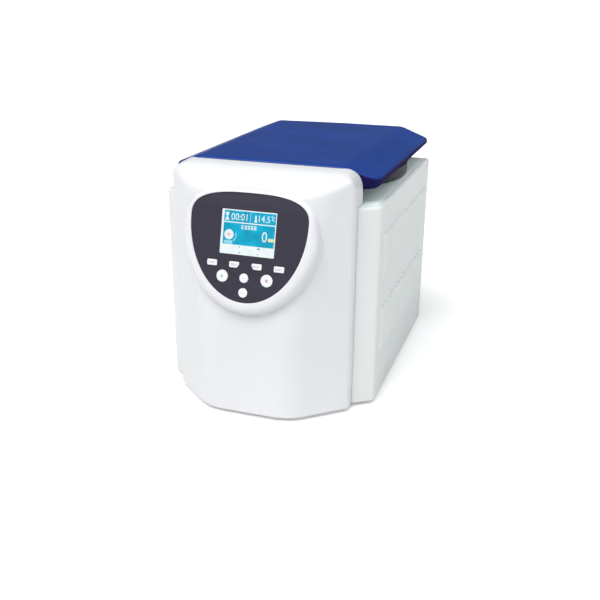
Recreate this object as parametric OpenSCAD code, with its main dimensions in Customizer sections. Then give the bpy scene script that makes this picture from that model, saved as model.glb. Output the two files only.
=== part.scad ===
// Benchtop refrigerated laboratory centrifuge.
// Frame: +Z up, the control panel faces -Y, the lid hinges at +Y.
// Origin: on the floor, below the middle of the bounding box.
// Most modules are drawn in the housing's own frame (x = 0 on the centre line,
// y = 0 at the front corners of the side walls, z = 0 at the base pan) and moved by place().

/* [Housing] */
// Width over the two side panels
body_w = 400; // [396:1:410]
// Depth from the front corners of the side walls to the back panel
body_d = 442.5; // [440:0.5:450]
// Height of the top deck above the base pan
body_h = 364; // [360:1:370]
// Height of the rubber feet
foot_h = 8; // [6:1:12]
// Thickness of the sheet steel
sheet_t = 1.5; // [1:0.1:2]

/* [Front moulding] */
// How far the front moulding stands in front of the side walls
front_bulge = 121; // [115:1:125]
// Wall thickness of the front moulding
mould_t = 3; // [2.5:0.1:3.5]
// Backward lean of the control panel, degrees
panel_tilt = 14.3; // [13:0.1:16]
// Half the width of the black control panel
shield_a = 104.5; // [102:0.5:106]

/* [Keys] */
// Travel of each key
key_travel = 0.8; // [0.5:0.1:1]
// Height of the key tops over the control panel
key_proud = 1.4; // [1.2:0.1:1.8]

/* [Lid] */
// Half the width of the lid
lid_half = 190; // [188:1:192]
// Height of the flat middle of the lid at its front edge
lid_top = 430; // [428:1:432]
// Fall of the lid's top from front to back, degrees
lid_fall = 1.1; // [0.8:0.1:1.4]
// Outer radius of the round drum under the lid
drum_r = 180; // [176:1:182]

/* [Chamber and rotor] */
// Inner radius of the stainless bowl
bowl_r = 138; // [136:1:140]
// Largest radius of the rotor
rotor_r = 125; // [120:1:126]
// Number of tube holes in the rotor
tube_count = 8; // [6:1:8]
// Radius of a tube hole
tube_r = 14.6; // [12:0.2:15]
// Lean of the tube holes, degrees
tube_lean = 28; // [25:1:30]

/* [Hidden] */
$fn = 64;

eps = 0.01;
elbow_k = 1.15;                  // an elbow's radius over its pipe's
elbow_lap = 0.35;                // how far the runs reach past an elbow's centre, in pipe radii

half_w = body_w / 2;
fascia_half = half_w - 35;
fascia_top = body_h + 64;
corner_r = 33;
chamber_y = 250;
pivot = [0, body_d + 9.5, body_h + 20];
lid_back = 475;
lid_front = -12;
lid_edge_z = body_h + 24;
panel_c = [0, -104.5, 326.7];    // centre of the display on the panel's plane
fan_z = 82;
inlet_x = 172;
latch_y = 27;
latch_z = 344;

white = [0.93, 0.93, 0.95];
charcoal = [0.24, 0.23, 0.27];
blue = [0.17, 0.30, 0.58];
steel = [0.72, 0.73, 0.75];
dark = [0.16, 0.16, 0.18];
copper = [0.72, 0.43, 0.25];
green = [0.10, 0.36, 0.22];

// ---------- helpers ----------

module place() { translate([0, front_y, foot_h]) children(); }

function unit(v) = v / norm(v);
function arc(c, r, a0, a1, n) =
    [for (i = [0:n]) let (a = a0 + (a1 - a0) * i / n) c + r * [cos(a), sin(a)]];

// The arc that rounds the corner b between its neighbours a and c
function fillet(a, b, c, r, n) =
    let (u = unit(a - b), v = unit(c - b), half = acos(u * v) / 2)
    let (m = b + unit(u + v) * r / sin(half), s = b + u * r / tan(half), e = b + v * r / tan(half))
    let (a0 = atan2(s.y - m.y, s.x - m.x), turn = atan2(e.y - m.y, e.x - m.x) - a0)
    arc(m, r, a0, a0 + (turn > 180 ? turn - 360 : turn < -180 ? turn + 360 : turn), n);

// A polygon [x, y, radius] with its corners rounded
function rounded(p, n = 8) =
    let (k = len(p))
    [for (i = [0:k - 1])
        let (a = p[(i + k - 1) % k], b = p[i], c = p[(i + 1) % k])
        each (b[2] > 0 ? fillet([a.x, a.y], [b.x, b.y], [c.x, c.y], b[2], n) : [[b.x, b.y]])];

// A counter-clockwise polygon moved inwards by t(point)
function edge_normal(a, b) = let (d = unit(b - a)) [-d.y, d.x];
function inset(p, t) =
    let (k = len(p))
    [for (i = [0:k - 1])
        let (n1 = edge_normal(p[(i + k - 1) % k], p[i]), n2 = edge_normal(p[i], p[(i + 1) % k]))
        p[i] + t * (n1 + n2) / (1 + n1 * n2)];

function mirrored(p) = [for (i = [len(p) - 1:-1:0]) [-p[i].x, p[i].y]];

module box(lo, hi) { translate(lo) cube(hi - lo); }
module tube(r_out, r_in, z0, z1) {
    difference() {
        translate([0, 0, z0]) cylinder(r = r_out, h = z1 - z0, $fn = 128);
        translate([0, 0, z0 - 1]) cylinder(r = r_in, h = z1 - z0 + 2, $fn = 128);
    }
}
module along_x(x0, x1, r) { translate([x0, 0, 0]) rotate([0, 90, 0]) cylinder(r = r, h = x1 - x0); }
module along_y(y0, y1, r) { translate([0, y0, 0]) rotate([-90, 0, 0]) cylinder(r = r, h = y1 - y0); }
module at_chamber() { translate([0, chamber_y, 0]) children(); }

// Bent pipe: straight runs that overlap inside round elbows
module pipe(path, r) {
    last = len(path) - 1;
    for (i = [0:last - 1]) {
        d = unit(path[i + 1] - path[i]);
        start = path[i] - d * (i > 0 ? elbow_lap * r : 0);
        end = path[i + 1] + d * (i < last - 1 ? elbow_lap * r : 0);
        translate(start) rotate([0, acos(d.z), atan2(d.y, d.x)])
            cylinder(r = r, h = norm(end - start), $fn = 32);
    }
    for (i = [1:last - 1]) translate(path[i]) sphere(r = r * elbow_k, $fn = 32);
}

// ---------- front moulding ----------

facet_y = -45;                    // where the slanted facets meet the side walls
facet_x = 77;                     // where they meet the front face
lean_z = 165;                     // where the front face starts to lean back
shoulder = [-87, 395];            // where the shoulder starts
shoulder_top = [-38, 423.5];      // where it flattens towards the lid

function fascia_plan() = rounded([
    [-fascia_half, 40, 0], [-fascia_half, facet_y, 14], [-facet_x, -front_bulge, 42],
    [facet_x, -front_bulge, 42], [fascia_half, facet_y, 14], [fascia_half, 40, 0]]);
function fascia_profile() = rounded([
    [-front_bulge - 1, -40, 0], [60, -40, 0], [60, fascia_top + 2, 0],
    [-8, fascia_top + 2, 0], [shoulder_top.x, shoulder_top.y, 40], [shoulder.x, shoulder.y, 22],
    [-front_bulge - 1, lean_z, 260]]);
function fascia_elevation() = rounded([
    [-fascia_half, -40, 0], [fascia_half, -40, 0],
    [fascia_half, fascia_top, corner_r], [-fascia_half, fascia_top, corner_r]]);

// The moulding as a full body, its skin moved inwards by t
module fascia_solid(t) {
    intersection() {
        translate([0, 0, -60]) linear_extrude(height = 600) polygon(inset(fascia_plan(), t));
        translate([-fascia_half, 0, 0]) rotate([90, 0, 90])
            linear_extrude(height = 2 * fascia_half) polygon(inset(fascia_profile(), t));
        translate([0, 60, 0]) rotate([90, 0, 0])
            linear_extrude(height = 240) polygon(inset(fascia_elevation(), t));
    }
}

// The moulding's rear edge follows the front edge of the lid; y is moved by d
module rear_line(d) {
    linear_extrude(height = 600)
        polygon([[-200, -200], [200, -200], [200, 20 + d], [132, -14.5 + d],
            [-132, -14.5 + d], [-200, 20 + d]]);
}

module on_panel() { translate(panel_c) rotate([90 - panel_tilt, 0, 0]) children(); }

// The black panel's outline: half an ellipse below, a fuller curve above
shield_mid = 20;
shield_low = 137;
shield_up = 46.5;
function power(v, e) = sign(v) * pow(abs(v), e);
function shield() = concat(
    [for (a = [180:6:359.9]) [shield_a * cos(a), shield_mid + shield_low * sin(a)]],
    [for (a = [0:6:179.9]) [shield_a * power(cos(a), 0.8), shield_mid + shield_up * power(sin(a), 0.8)]]);
// Width of the white rim round the panel: narrow above, wide below
function rim_w(s) = 20 - 12 * min(1, max(0, (s + 30) / 90));
function rim(k) =
    let (p = shield(), q = inset(p, -1))
    [for (i = [0:len(p) - 1]) p[i] + (q[i] - p[i]) * k * rim_w(p[i].y)];

module slab(outline, n0, n1) { translate([0, 0, n0]) linear_extrude(height = n1 - n0) polygon(outline); }

rim_steps = [[1, -7], [0.93, -4], [0.82, -1.6], [0.66, 0.1], [0.45, 1.2], [0.2, 1.6]];
bezel_t = 2.5;
ledge_t = 3;
// the foremost point of the rim, and the shift along Y that centres the whole object on the origin
front_reach = max([for (s = rim_steps)
    let (low = shield_low - shield_mid + rim_w(-shield_low) * s[0])
    -panel_c.y + low * sin(panel_tilt) + s[1] * cos(panel_tilt)]);
front_y = (front_reach - lid_back) / 2;

module front_fascia() {
    color(white) place() {
        difference() {
            intersection() {
                union() {
                    intersection() { fascia_solid(0); rear_line(0); }
                    on_panel() for (s = rim_steps) slab(rim(s[0]), -32, s[1]);
                }
                box([-220, -220, 0], [220, 60, fascia_top + 1]);
            }
            difference() {
                fascia_solid(mould_t);
                on_panel() slab(rim(0.8), -bezel_t - ledge_t, 0);
                // closing wall behind the shoulder, above the deck
                difference() {
                    box([-200, -60, body_h - 10], [200, 20, 500]);
                    rear_line(-mould_t);
                }
            }
            on_panel() slab(rim(0.7), -32, -bezel_t - ledge_t);
            on_panel() slab(inset(shield(), -0.3), -bezel_t, 5);
            on_panel() slab(inset(shield(), 7), -40, 5);
        }
    }
}

// ---------- control panel ----------

display = [96.6, 74];
window_t = 1.8;
key_gap = 0.4;
key_flange = 1.2;
key_row_s = -54;
function rect(w, h, r) =
    rounded([[-w / 2, -h / 2, r], [w / 2, -h / 2, r], [w / 2, h / 2, r], [-w / 2, h / 2, r]], 4);
function key_slant() =
    rounded([[-9.5, -5.5, 1.5], [5.5, -5.5, 1.5], [9.5, 1, 1.5], [9.5, 5.5, 1.5], [-9.5, 5.5, 1.5]], 4);
f_outline = [rect(19, 11, 2), key_slant(), mirrored(key_slant()), rect(19, 11, 2)];
f_x = [-60, -20, 20, 59.5];
// [x, s, radius] of the round keys: start, stop, up, down
round_keys = [[-40, -75, 10.9], [39.5, -75, 10.9], [0, -75, 8.25], [0, -99.5, 8.25]];
key_spots = concat([for (x = f_x) [x, key_row_s]], [for (k = round_keys) [k[0], k[1]]]);

// Stem that stops above its button on the circuit board, with room for the key's travel
button_top = -10.2;
module key_stem() { translate([0, 0, button_top + key_travel + 0.2]) cylinder(r = 2.5, h = 6); }

module f_key(i) {
    color([0.90, 0.90, 0.93]) place() on_panel() translate([f_x[i], key_row_s, 0]) {
        slab(f_outline[i], -4, key_proud);
        slab(inset(f_outline[i], -key_flange), -4.2, -3.2);
        key_stem();
    }
}
module round_key(k) {
    color([0.90, 0.90, 0.93]) place() on_panel() translate([k[0], k[1], 0]) {
        translate([0, 0, -4]) cylinder(r = k[2], h = 4 + key_proud);
        translate([0, 0, -4.2]) cylinder(r = k[2] + key_flange, h = 1);
        key_stem();
    }
}

module key_f1() { f_key(0); }
module key_f2() { f_key(1); }
module key_f3() { f_key(2); }
module key_f4() { f_key(3); }
module key_start() { round_key(round_keys[0]); }
module key_stop() { round_key(round_keys[1]); }
module key_up() { round_key(round_keys[2]); }
module key_down() { round_key(round_keys[3]); }

module control_bezel() {
    color(charcoal) place() on_panel() {
        difference() {
            slab(shield(), -bezel_t, 0);
            slab(rect(display.x + 0.4, display.y + 0.4, 1.2), -5, 1);
            for (i = [0:3]) translate([f_x[i], key_row_s, 0]) slab(inset(f_outline[i], -key_gap), -5, 1);
            for (k = round_keys) translate([k[0], k[1], -5]) cylinder(r = k[2] + key_gap, h = 6);
        }
        // posts that carry the circuit board
        for (p = [[-82, 30], [82, 30], [-78, -30], [78, -30], [-28, -98], [28, -98]])
            translate([p.x, p.y, -13]) cylinder(r = 3, h = 13 - bezel_t);
    }
}

module display_window() {
    color([0.55, 0.75, 0.9, 0.4]) place() on_panel()
        slab(rect(display.x, display.y, 1), -window_t - 0.3, -0.3);
}

module lcd_module() {
    color([0.10, 0.45, 0.75]) place() on_panel() {
        slab(rect(display.x + 10, display.y + 8, 1), -9, -2.6);
        slab(rect(display.x + 0.2, display.y + 0.2, 1), -2.7, -2.2);
    }
}

module control_board() {
    color(green) place() on_panel() {
        slab(inset(shield(), 14), -14.6, -13);
        for (p = key_spots) translate([p.x, p.y, 0]) slab(rect(6, 6, 0.6), -13.1, button_top);
        slab(rect(40, 40, 1), -13.1, -9.2);
        box([-30, -20, -22], [-10, 8, -14.5]);
        box([10, -24, -18], [34, 0, -14.5]);
        box([-70, 10, -26], [-50, 40, -14.5]);
        translate([58, 26, -30]) cylinder(r = 8, h = 15.5);
    }
}

// ---------- sheet-metal housing ----------

louvre_pitch = 26.6;
louvre_first = 35;
louvre_count = 14;
louvre_w = 18;
louvre_out = 5;
louvre_t = 1.2;
louvre_rows = [[85, 172], [222, 313]];
flange_end = [fascia_half + 0.6, -24];
wall_corner_y = 2.5;
wall_corner_r = 14;

// Plan of the right wall and its swept-back front flange, moved inwards by t
function wall_line(t) =
    let (turn = atan2(half_w - flange_end.x, wall_corner_y - flange_end.y))
    let (slope = (wall_corner_y - flange_end.y) / (half_w - flange_end.x))
    let (cx = half_w - t, cy = wall_corner_y + t * tan(turn / 2))
    let (end = [flange_end.x, cy - slope * (cx - flange_end.x)])
    concat([[cx, body_d]], fillet([cx, body_d], [cx, cy], end, wall_corner_r - t, 8), [end]);
function reversed(p) = [for (i = [len(p) - 1:-1:0]) p[i]];

module louvre_hood(h) {
    difference() {
        linear_extrude(height = h)
            polygon([[-eps, 0], [louvre_out, louvre_w - 4], [louvre_out, louvre_w], [-eps, louvre_w]]);
        translate([0, 0, louvre_t]) linear_extrude(height = h - 2 * louvre_t)
            polygon([[-1, louvre_t], [0, louvre_t], [louvre_out - louvre_t, louvre_w - 4],
                [louvre_out - louvre_t, louvre_w + 1], [-1, louvre_w + 1]]);
    }
}

module side_panel() {
    difference() {
        linear_extrude(height = body_h) polygon(concat(wall_line(0), reversed(wall_line(sheet_t))));
        for (row = louvre_rows, i = [0:louvre_count - 1])
            box([half_w - 5, louvre_first + louvre_pitch * i + 2, row[0] + louvre_t],
                [half_w + 5, louvre_first + louvre_pitch * i + louvre_w, row[1] - louvre_t]);
    }
    for (row = louvre_rows, i = [0:louvre_count - 1])
        translate([half_w, louvre_first + louvre_pitch * i, row[0]]) louvre_hood(row[1] - row[0]);
}

module right_side_panel() { color(white) place() side_panel(); }
module left_side_panel() { color(white) place() mirror([1, 0, 0]) side_panel(); }

module base_pan() {
    in = sheet_t + 0.3;
    color(steel) place() difference() {
        union() {
            box([-half_w + in, 6, 0], [half_w - in, body_d - in, 20]);
            intersection() {
                linear_extrude(height = 20) polygon(inset(fascia_plan(), mould_t + 0.4));
                box([-200, -200, 0], [200, 7, 20]);
            }
        }
        box([-half_w + in + 1.5, 7.5, 2], [half_w - in - 1.5, body_d - in - 1.5, 30]);
        intersection() {
            translate([0, 0, 2]) linear_extrude(height = 30) polygon(inset(fascia_plan(), mould_t + 1.9));
            box([-200, -200, 0], [200, 8, 30]);
        }
    }
}

foot_spots = [for (x = [-1, 1], y = [24, body_d - 34]) [x * 160, y]];
module feet() {
    color(dark) place() for (p = foot_spots) translate([p.x, p.y, -foot_h]) {
        cylinder(r1 = 15, r2 = 18, h = foot_h);
    }
}

// [x, z] of the screws round the back panel
back_screws = [for (x = [-1, 1], z = [26, 180, 345]) [x * (half_w - 9), z]];
module back_panel() {
    color(white) place() difference() {
        box([-half_w + sheet_t + 0.2, body_d - sheet_t, 0.2], [half_w - sheet_t - 0.2, body_d, body_h]);
        // condenser air slots
        for (x = [-1, 1], i = [0:12])
            translate([x * 66, 0, 22 + i * 10]) rotate([-90, 0, 0])
                linear_extrude(height = 600) polygon(rect(112, 5, 2.4));
        box([inlet_x - 10, 400, 46], [inlet_x + 10, 500, 74]);
        box([inlet_x - 9.6, 400, 96], [inlet_x + 9.6, 500, 124]);
        for (p = back_screws) translate([p.x, 0, p.y]) along_y(400, 500, 2.1);
        for (x = [-1, 1], dx = [-14, 14], dz = [-34, -14])
            translate([x * 120 + dx, 0, body_h + dz]) along_y(400, 500, 2.6);
    }
}

mouth_r = bowl_r + 12;
module top_deck() {
    color([0.86, 0.88, 0.88]) place() difference() {
        translate([0, 0, body_h - 1.5]) linear_extrude(height = 1.5)
            polygon(concat(inset_wall(), mirrored(inset_wall())));
        // front edge, clear of the moulding's closing wall
        intersection() {
            rear_line(0.5);
            box([-flange_end.x - 0.4, -200, 0], [flange_end.x + 0.4, 60, 500]);
        }
        at_chamber() cylinder(r = mouth_r, h = 500, $fn = 160);
        box([-6, 11, 300], [6, 42, 400]);
    }
}
// right half of the deck's outline, 0.2 inside the side wall
function inset_wall() = concat([[half_w - sheet_t - 0.2, body_d - sheet_t - 0.2]],
    [for (p = wall_line(sheet_t + 0.2)) if (p.y < body_d - 10) p]);

// ---------- chassis, chamber and drive ----------

plate_z = [199, 205];
post_spots = [for (x = [-165, 165], y = [95, 398]) [x, y]];
module subframe() {
    color([0.35, 0.36, 0.38]) place() {
        difference() {
            box([-176, 84, plate_z[0]], [176, 412, plate_z[1]]);
            at_chamber() translate([0, 0, 100]) cylinder(r = 70, h = 200);
            for (x = [-60.6, 60.6]) translate([x, 120, 100]) cylinder(r = 6, h = 200);
        }
        for (p = post_spots) {
            difference() {
                box([p.x - 10, p.y - 10, 2.1], [p.x + 10, p.y + 10, plate_z[0] + 1]);
                box([p.x - 8, p.y - 8, 3], [p.x + 8, p.y + 8, plate_z[0]]);
            }
        }
    }
}

module armour_ring() { color([0.30, 0.31, 0.33]) place() at_chamber() tube(166, 160, plate_z[1], 350); }
module insulation_jacket() {
    color([0.85, 0.82, 0.70]) place() at_chamber() {
        tube(159.6, 149.2, plate_z[1] + 0.1, 353);
    }
}

coil_r = 143.6;
coil_tube = 3.6;
module evaporator_coil() {
    color(copper) place() at_chamber() {
        for (i = [0:7]) translate([0, 0, 236 + 14 * i])
            rotate_extrude($fn = 128) translate([coil_r, 0]) circle(r = coil_tube, $fn = 24);
        translate([-60.6, 120 - chamber_y, 236]) cylinder(r = coil_tube, h = 98, $fn = 24);
    }
}

bowl_z = 212;
probe_at = [-56, -20];
probe_r = 2.4;
module chamber_bowl() {
    color([0.80, 0.81, 0.83]) place() at_chamber() difference() {
        rotate_extrude($fn = 128) polygon(concat(
            [[24, bowl_z], [bowl_r - 24, bowl_z]],
            arc([bowl_r - 24, bowl_z + 25], 25.2, -90, 0, 8),
            [[bowl_r + 1.2, 353.4], [mouth_r - 0.8, 353.4], [mouth_r - 0.8, 354.8], [bowl_r, 354.8]],
            arc([bowl_r - 24, bowl_z + 25], 24, 0, -90, 8),
            [[24, bowl_z + 1]]));
        translate([probe_at.x, probe_at.y, bowl_z - 2]) cylinder(r = probe_r + 0.1, h = 5);
    }
}

module chamber_gasket() {
    color(dark) place() at_chamber() rotate_extrude($fn = 128)
        polygon([[bowl_r + 1, 355], [mouth_r - 0.3, 355], [mouth_r - 0.3, body_h + 0.1],
            [mouth_r + 8, body_h + 0.1], [mouth_r + 8, body_h + 1.4], [mouth_r + 4, body_h + 1.6],
            [bowl_r + 2, body_h + 0.6]]);
}

module temperature_probe() {
    color(steel) place() at_chamber() translate([probe_at.x, probe_at.y, 0]) {
        translate([0, 0, 190]) cylinder(r = 4.5, h = bowl_z - 190.2);
        translate([0, 0, bowl_z - 1]) cylinder(r = probe_r, h = 7.5);
    }
}

motor_r = 68;
flange_z = 168;
shaft_r = 9;
damper_angles = [45:90:359];
module motor_dampers() {
    color(dark) place() at_chamber() for (a = damper_angles) rotate([0, 0, a]) translate([87, 0, 0]) {
        translate([0, 0, flange_z + 8.1]) cylinder(r = 12, h = 6);
        translate([0, 0, flange_z + 8.1]) cylinder(r = 8, h = plate_z[0] - flange_z - 8.2);
        translate([0, 0, plate_z[0] - 6.1]) cylinder(r = 12, h = 6);
    }
}
module motor_body() {
    color([0.25, 0.26, 0.28]) place() at_chamber() difference() {
        union() {
            translate([0, 0, 50]) cylinder(r = motor_r - 4, h = flange_z - 49, $fn = 96);
            translate([0, 0, 50]) cylinder(r = motor_r, h = 16, $fn = 96);
            for (i = [0:23]) rotate([0, 0, i * 15])
                box([motor_r - 6, -1.5, 62], [motor_r, 1.5, flange_z - 6]);
            translate([0, 0, flange_z]) cylinder(r = 102, h = 8, $fn = 96);
            translate([0, 0, flange_z]) cylinder(r = 22, h = 20);
        }
        translate([0, 0, 110]) cylinder(r = shaft_r + 0.05, h = 200);
    }
}
module imbalance_sensor() {
    color([0.12, 0.12, 0.13]) place() at_chamber() {
        box([92, -10, plate_z[0] - 14], [112, 10, plate_z[0] - 0.1]);
        box([96, -3, plate_z[0] - 20], [101, 3, plate_z[0] - 13]);
    }
}
module shaft_boot() {
    color(dark) place() at_chamber() rotate_extrude()
        polygon(concat([[24, flange_z + 8.2], [34, flange_z + 8.2]],
            [for (i = [0:6]) [i % 2 == 0 ? 33 : 29, flange_z + 12 + i * 4.4]],
            [[34, bowl_z - 4], [34, bowl_z - 0.2], [23, bowl_z - 0.2], [23, bowl_z - 4]],
            [for (i = [6:-1:0]) [i % 2 == 0 ? 30.5 : 26.5, flange_z + 12 + i * 4.4]]));
}
rotor_z = 226;
module drive_shaft() {
    color(steel) place() at_chamber() {
        translate([0, 0, 114]) cylinder(r = shaft_r, h = rotor_z + 76 - 114);
        translate([0, 0, rotor_z - 10]) cylinder(r = 17, h = 10);
    }
}
module rotor() {
    color([0.62, 0.64, 0.67]) place() at_chamber() translate([0, 0, rotor_z]) difference() {
        rotate_extrude($fn = 128)
            polygon([[shaft_r + 0.05, 0], [rotor_r - 12, 0], [rotor_r - 2, 6], [rotor_r, 12], [rotor_r, 20],
                [100, 80], [96, 86], [90, 88], [56, 88], [50, 84], [40, 56], [34, 52], [shaft_r + 0.05, 52]]);
        for (i = [0:tube_count - 1]) rotate([0, 0, i * 360 / tube_count])
            translate([74, 0, 90]) rotate([0, 180 - tube_lean, 0]) {
                translate([0, 0, -30]) cylinder(r = tube_r, h = 82);
                translate([0, 0, 52]) sphere(r = tube_r);
            }
    }
}
module rotor_nut() {
    color([0.20, 0.20, 0.22]) place() at_chamber() translate([0, 0, rotor_z + 52.1]) difference() {
        union() {
            cylinder(r = 20, h = 16, $fn = 96);
            translate([0, 0, 16]) cylinder(r = 26, h = 20, $fn = 96);
            for (i = [0:11]) rotate([0, 0, i * 30]) translate([26, 0, 16])
                cylinder(r = 2.4, h = 20, $fn = 24);
        }
        translate([0, 0, -1]) cylinder(r = shaft_r + 0.05, h = 27);
    }
}

// ---------- refrigeration ----------

comp = [-88, 22];
module compressor() {
    color([0.10, 0.10, 0.11]) place() translate([comp.x, comp.y, 0]) {
        rotate_extrude($fn = 96) polygon(concat([[0, 20]], arc([40, 36], 16, -90, 0, 5),
            [[56, 84], [58, 84], [58, 90], [56, 90], [56, 126]], arc([30, 126], 26, 0, 90, 8), [[0, 152]]));
        for (a = [30:120:359]) rotate([0, 0, a]) box([30, -12, 17], [66, 12, 20.5]);
        translate([38, -36, 60]) box([0, 0, 0], [24, 22, 40]);
    }
}
module compressor_grommets() {
    color(dark) place() translate([comp.x, comp.y, 0])
        for (a = [30:120:359]) rotate([0, 0, a]) translate([58, 0, 2.1]) cylinder(r = 9, h = 14.8);
}
module condenser() {
    color([0.68, 0.69, 0.70]) place() {
        for (x = [-140, 138.4]) box([x, 385, 2.2], [x + 1.6, 417, 152]);
        for (i = [0:26]) box([-134 + i * 10, 386, 12], [-133.2 + i * 10, 416, 150]);
        for (z = [24:26:140]) translate([0, 401, z]) along_x(-140, 140, 4);
    }
}
module fan_shroud() {
    color(dark) place() difference() {
        union() {
            box([-139, 381, 2.2], [139, 383, 152]);
            translate([0, 0, fan_z]) along_y(360, 382, 66);
            for (a = [30:120:359]) translate([0, 358, fan_z]) rotate([0, a, 0]) box([18, -1, -3], [64, 3, 3]);
            translate([0, 0, fan_z]) along_y(356, 360, 23);
        }
        translate([0, 0, fan_z]) along_y(361.5, 400, 63.5);
        translate([0, 0, fan_z]) along_y(359, 362, 23);
        translate([0, 0, fan_z]) along_y(350, 362, 17.4);
        for (a = [90:120:359]) translate([0, 0, fan_z]) rotate([0, a, 0]) fan_gap();
    }
}
// one open third of the fan ring's face
module fan_gap() {
    rotate([-90, 0, 0]) translate([0, 0, 350]) linear_extrude(height = 12)
        polygon(concat(arc([0, 0], 62, -54, 54, 12), arc([0, 0], 24, 50, -50, 8)));
}
module fan_motor() {
    color([0.2, 0.2, 0.22]) place() translate([0, 0, fan_z]) {
        along_y(334, 361, 17);
        along_y(334, 355.8, 21);
    }
}
module fan_blades() {
    color([0.82, 0.82, 0.84]) place() translate([0, 0, fan_z]) {
        along_y(362.2, 377, 18);
        for (a = [0:60:359]) rotate([0, a, 0]) translate([0, 369.5, 0]) rotate([22, 0, 0])
            box([12, -0.8, -14], [60, 0.8, 14]);
    }
}
dryer = [-186, 0, 112];
module filter_dryer() {
    color(copper) place() translate([dryer.x, 0, dryer.z]) {
        along_y(196, 270, 9.5);
        along_y(188, 196.5, 5);
        along_y(269.5, 278, 5);
    }
}
module suction_line() {
    color(copper) place()
        pipe([[-60.6, 120, 231.8], [-60.6, 120, 182], [-66, 80, 170], [-80, 34, 168], [-80, 34, 152.1]], 3.4);
}
module discharge_line() {
    color(copper) place() {
        pipe([[-131, 61, 60], [-150, 70, 40], [-186, 72, 34], [-186, 415, 34], [-147, 415, 34],
            [-147, 401, 34], [-141, 401, 34]], 3);
        pipe([[-141, 401, 112], [-147, 401, 112], [-147, 378, 112], [-186, 378, 112], [-186, 279, 112]], 3);
        pipe([[-186, 187, 112], [-186, 160, 112], [-150, 142, 180]], 2);
    }
}

// ---------- electrics ----------

module electronics_tray() {
    color(steel) place() {
        box([34, 66, 2.1], [160, 68, 190]);
        box([34, 40, 2.1], [160, 67, 4]);
    }
}
module inverter_drive() {
    color([0.30, 0.31, 0.33]) place() {
        box([44, 40, 96], [150, 65.9, 178]);
        for (i = [0:9]) box([46 + i * 11, 14, 98], [49 + i * 11, 41, 176]);
    }
}
module power_supply() {
    color([0.70, 0.71, 0.73]) place() difference() {
        box([44, 8, 14], [150, 65.9, 82]);
        for (i = [0:7]) box([52 + i * 12, 0, 22], [57 + i * 12, 10, 74]);
    }
}
module power_inlet() {
    color(dark) place() translate([inlet_x, body_d, 60]) difference() {
        union() {
            box([-12, 0.1, -25], [12, 3, 25]);
            box([-9.6, -26, -13.6], [9.6, 1, 13.6]);
        }
        difference() {
            box([-7.8, -16, -11.8], [7.8, 5, 11.8]);
            for (p = [[0, -7], [3, 0], [0, 7]]) box([p.x - 2, -17, p.y - 1], [p.x + 2, -2, p.y + 1]);
        }
        for (z = [-20, 20]) translate([0, 0, z]) along_y(-1, 5, 1.7);
    }
}
rocker_c = [inlet_x, body_d + 1, 110];
module switch_frame() {
    color(dark) place() translate(rocker_c) difference() {
        union() {
            box([-11.5, -0.9, -16], [11.5, 1.6, 16]);
            box([-9.2, -22, -13.6], [9.2, 0, 13.6]);
        }
        box([-7.6, -17, -12.2], [7.6, 3, 12.2]);
    }
}
rocker_tilt = 8;
rocker_pivot = rocker_c - [0, 5, 0];
module power_rocker() {
    color([0.10, 0.35, 0.16]) place() translate(rocker_pivot) rotate([rocker_tilt, 0, 0]) {
        translate([-7, 0, 0]) rotate([90, 0, 90]) linear_extrude(height = 14)
            polygon([[-3, -9.6], [6.8, -10.8], [5.6, 0], [6.8, 10.8], [-3, 9.6], [-6, 4], [-6, -4]]);
        along_x(-7.5, 7.5, 2.2);
    }
}

// ---------- lid lock and hinge ----------

module latch_housing() {
    color(steel) place() difference() {
        box([-46, 10, 306], [46, 44, body_h - 1.6]);
        box([-44, 12, 308], [44, 42, 400]);
    }
}
module latch_solenoid() {
    color([0.15, 0.25, 0.5]) place() translate([0, latch_y, latch_z]) difference() {
        union() {
            along_x(-43.8, -12, 9);
            box([-40, -9, -35.8], [-16, 9, -6]);
        }
        along_x(-41, 0, 4.4);
    }
}
module latch_bolt() { color(steel) place() translate([0, latch_y, latch_z]) along_x(-38, -8, 4); }

hinge_x = [-120, 120];
module hinge_brackets() {
    color([0.35, 0.36, 0.38]) place() for (x = hinge_x) {
        difference() {
            union() {
                box([x - 22, body_d + 0.1, body_h - 42], [x + 22, body_d + 3, body_h + 2]);
                for (s = [-1, 1]) translate([x + s * 20, 0, 0]) {
                    box([-2, body_d + 0.1, body_h - 24], [2, pivot.y + 5, pivot.z]);
                    translate([0, pivot.y, pivot.z]) along_x(-2, 2, 7);
                }
            }
            translate([0, pivot.y, pivot.z]) along_x(x - 40, x + 40, 4.05);
            for (dx = [-14, 14], dz = [-34, -14]) translate([x + dx, 0, body_h + dz]) along_y(400, 500, 2.6);
        }
    }
}
module hinge_pin() {
    color(steel) place() translate([0, pivot.y, pivot.z]) for (x = hinge_x) along_x(x - 25, x + 25, 4);
}
module hinge_springs() {
    color(steel) place() translate([0, pivot.y, pivot.z]) for (x = hinge_x, s = [-1, 1], i = [0:2])
        translate([x + s * 13 + (i - 1) * 2.4, 0, 0]) rotate([0, 90, 0])
            rotate_extrude($fn = 32) translate([5.4, 0]) circle(r = 1.1, $fn = 16);
}
module hinge_arms() {
    color([0.35, 0.36, 0.38]) place() for (x = hinge_x) difference() {
        union() {
            translate([0, pivot.y, pivot.z]) along_x(x - 8, x + 8, 8.5);
            box([x - 8, pivot.y - 60, pivot.z + 3], [x + 8, pivot.y, pivot.z + 8]);
            box([x - 8, pivot.y - 60, pivot.z + 3], [x + 8, pivot.y - 20, frame_z]);
        }
        translate([0, pivot.y, pivot.z]) along_x(x - 30, x + 30, 4.06);
    }
}

// ---------- lid ----------

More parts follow.
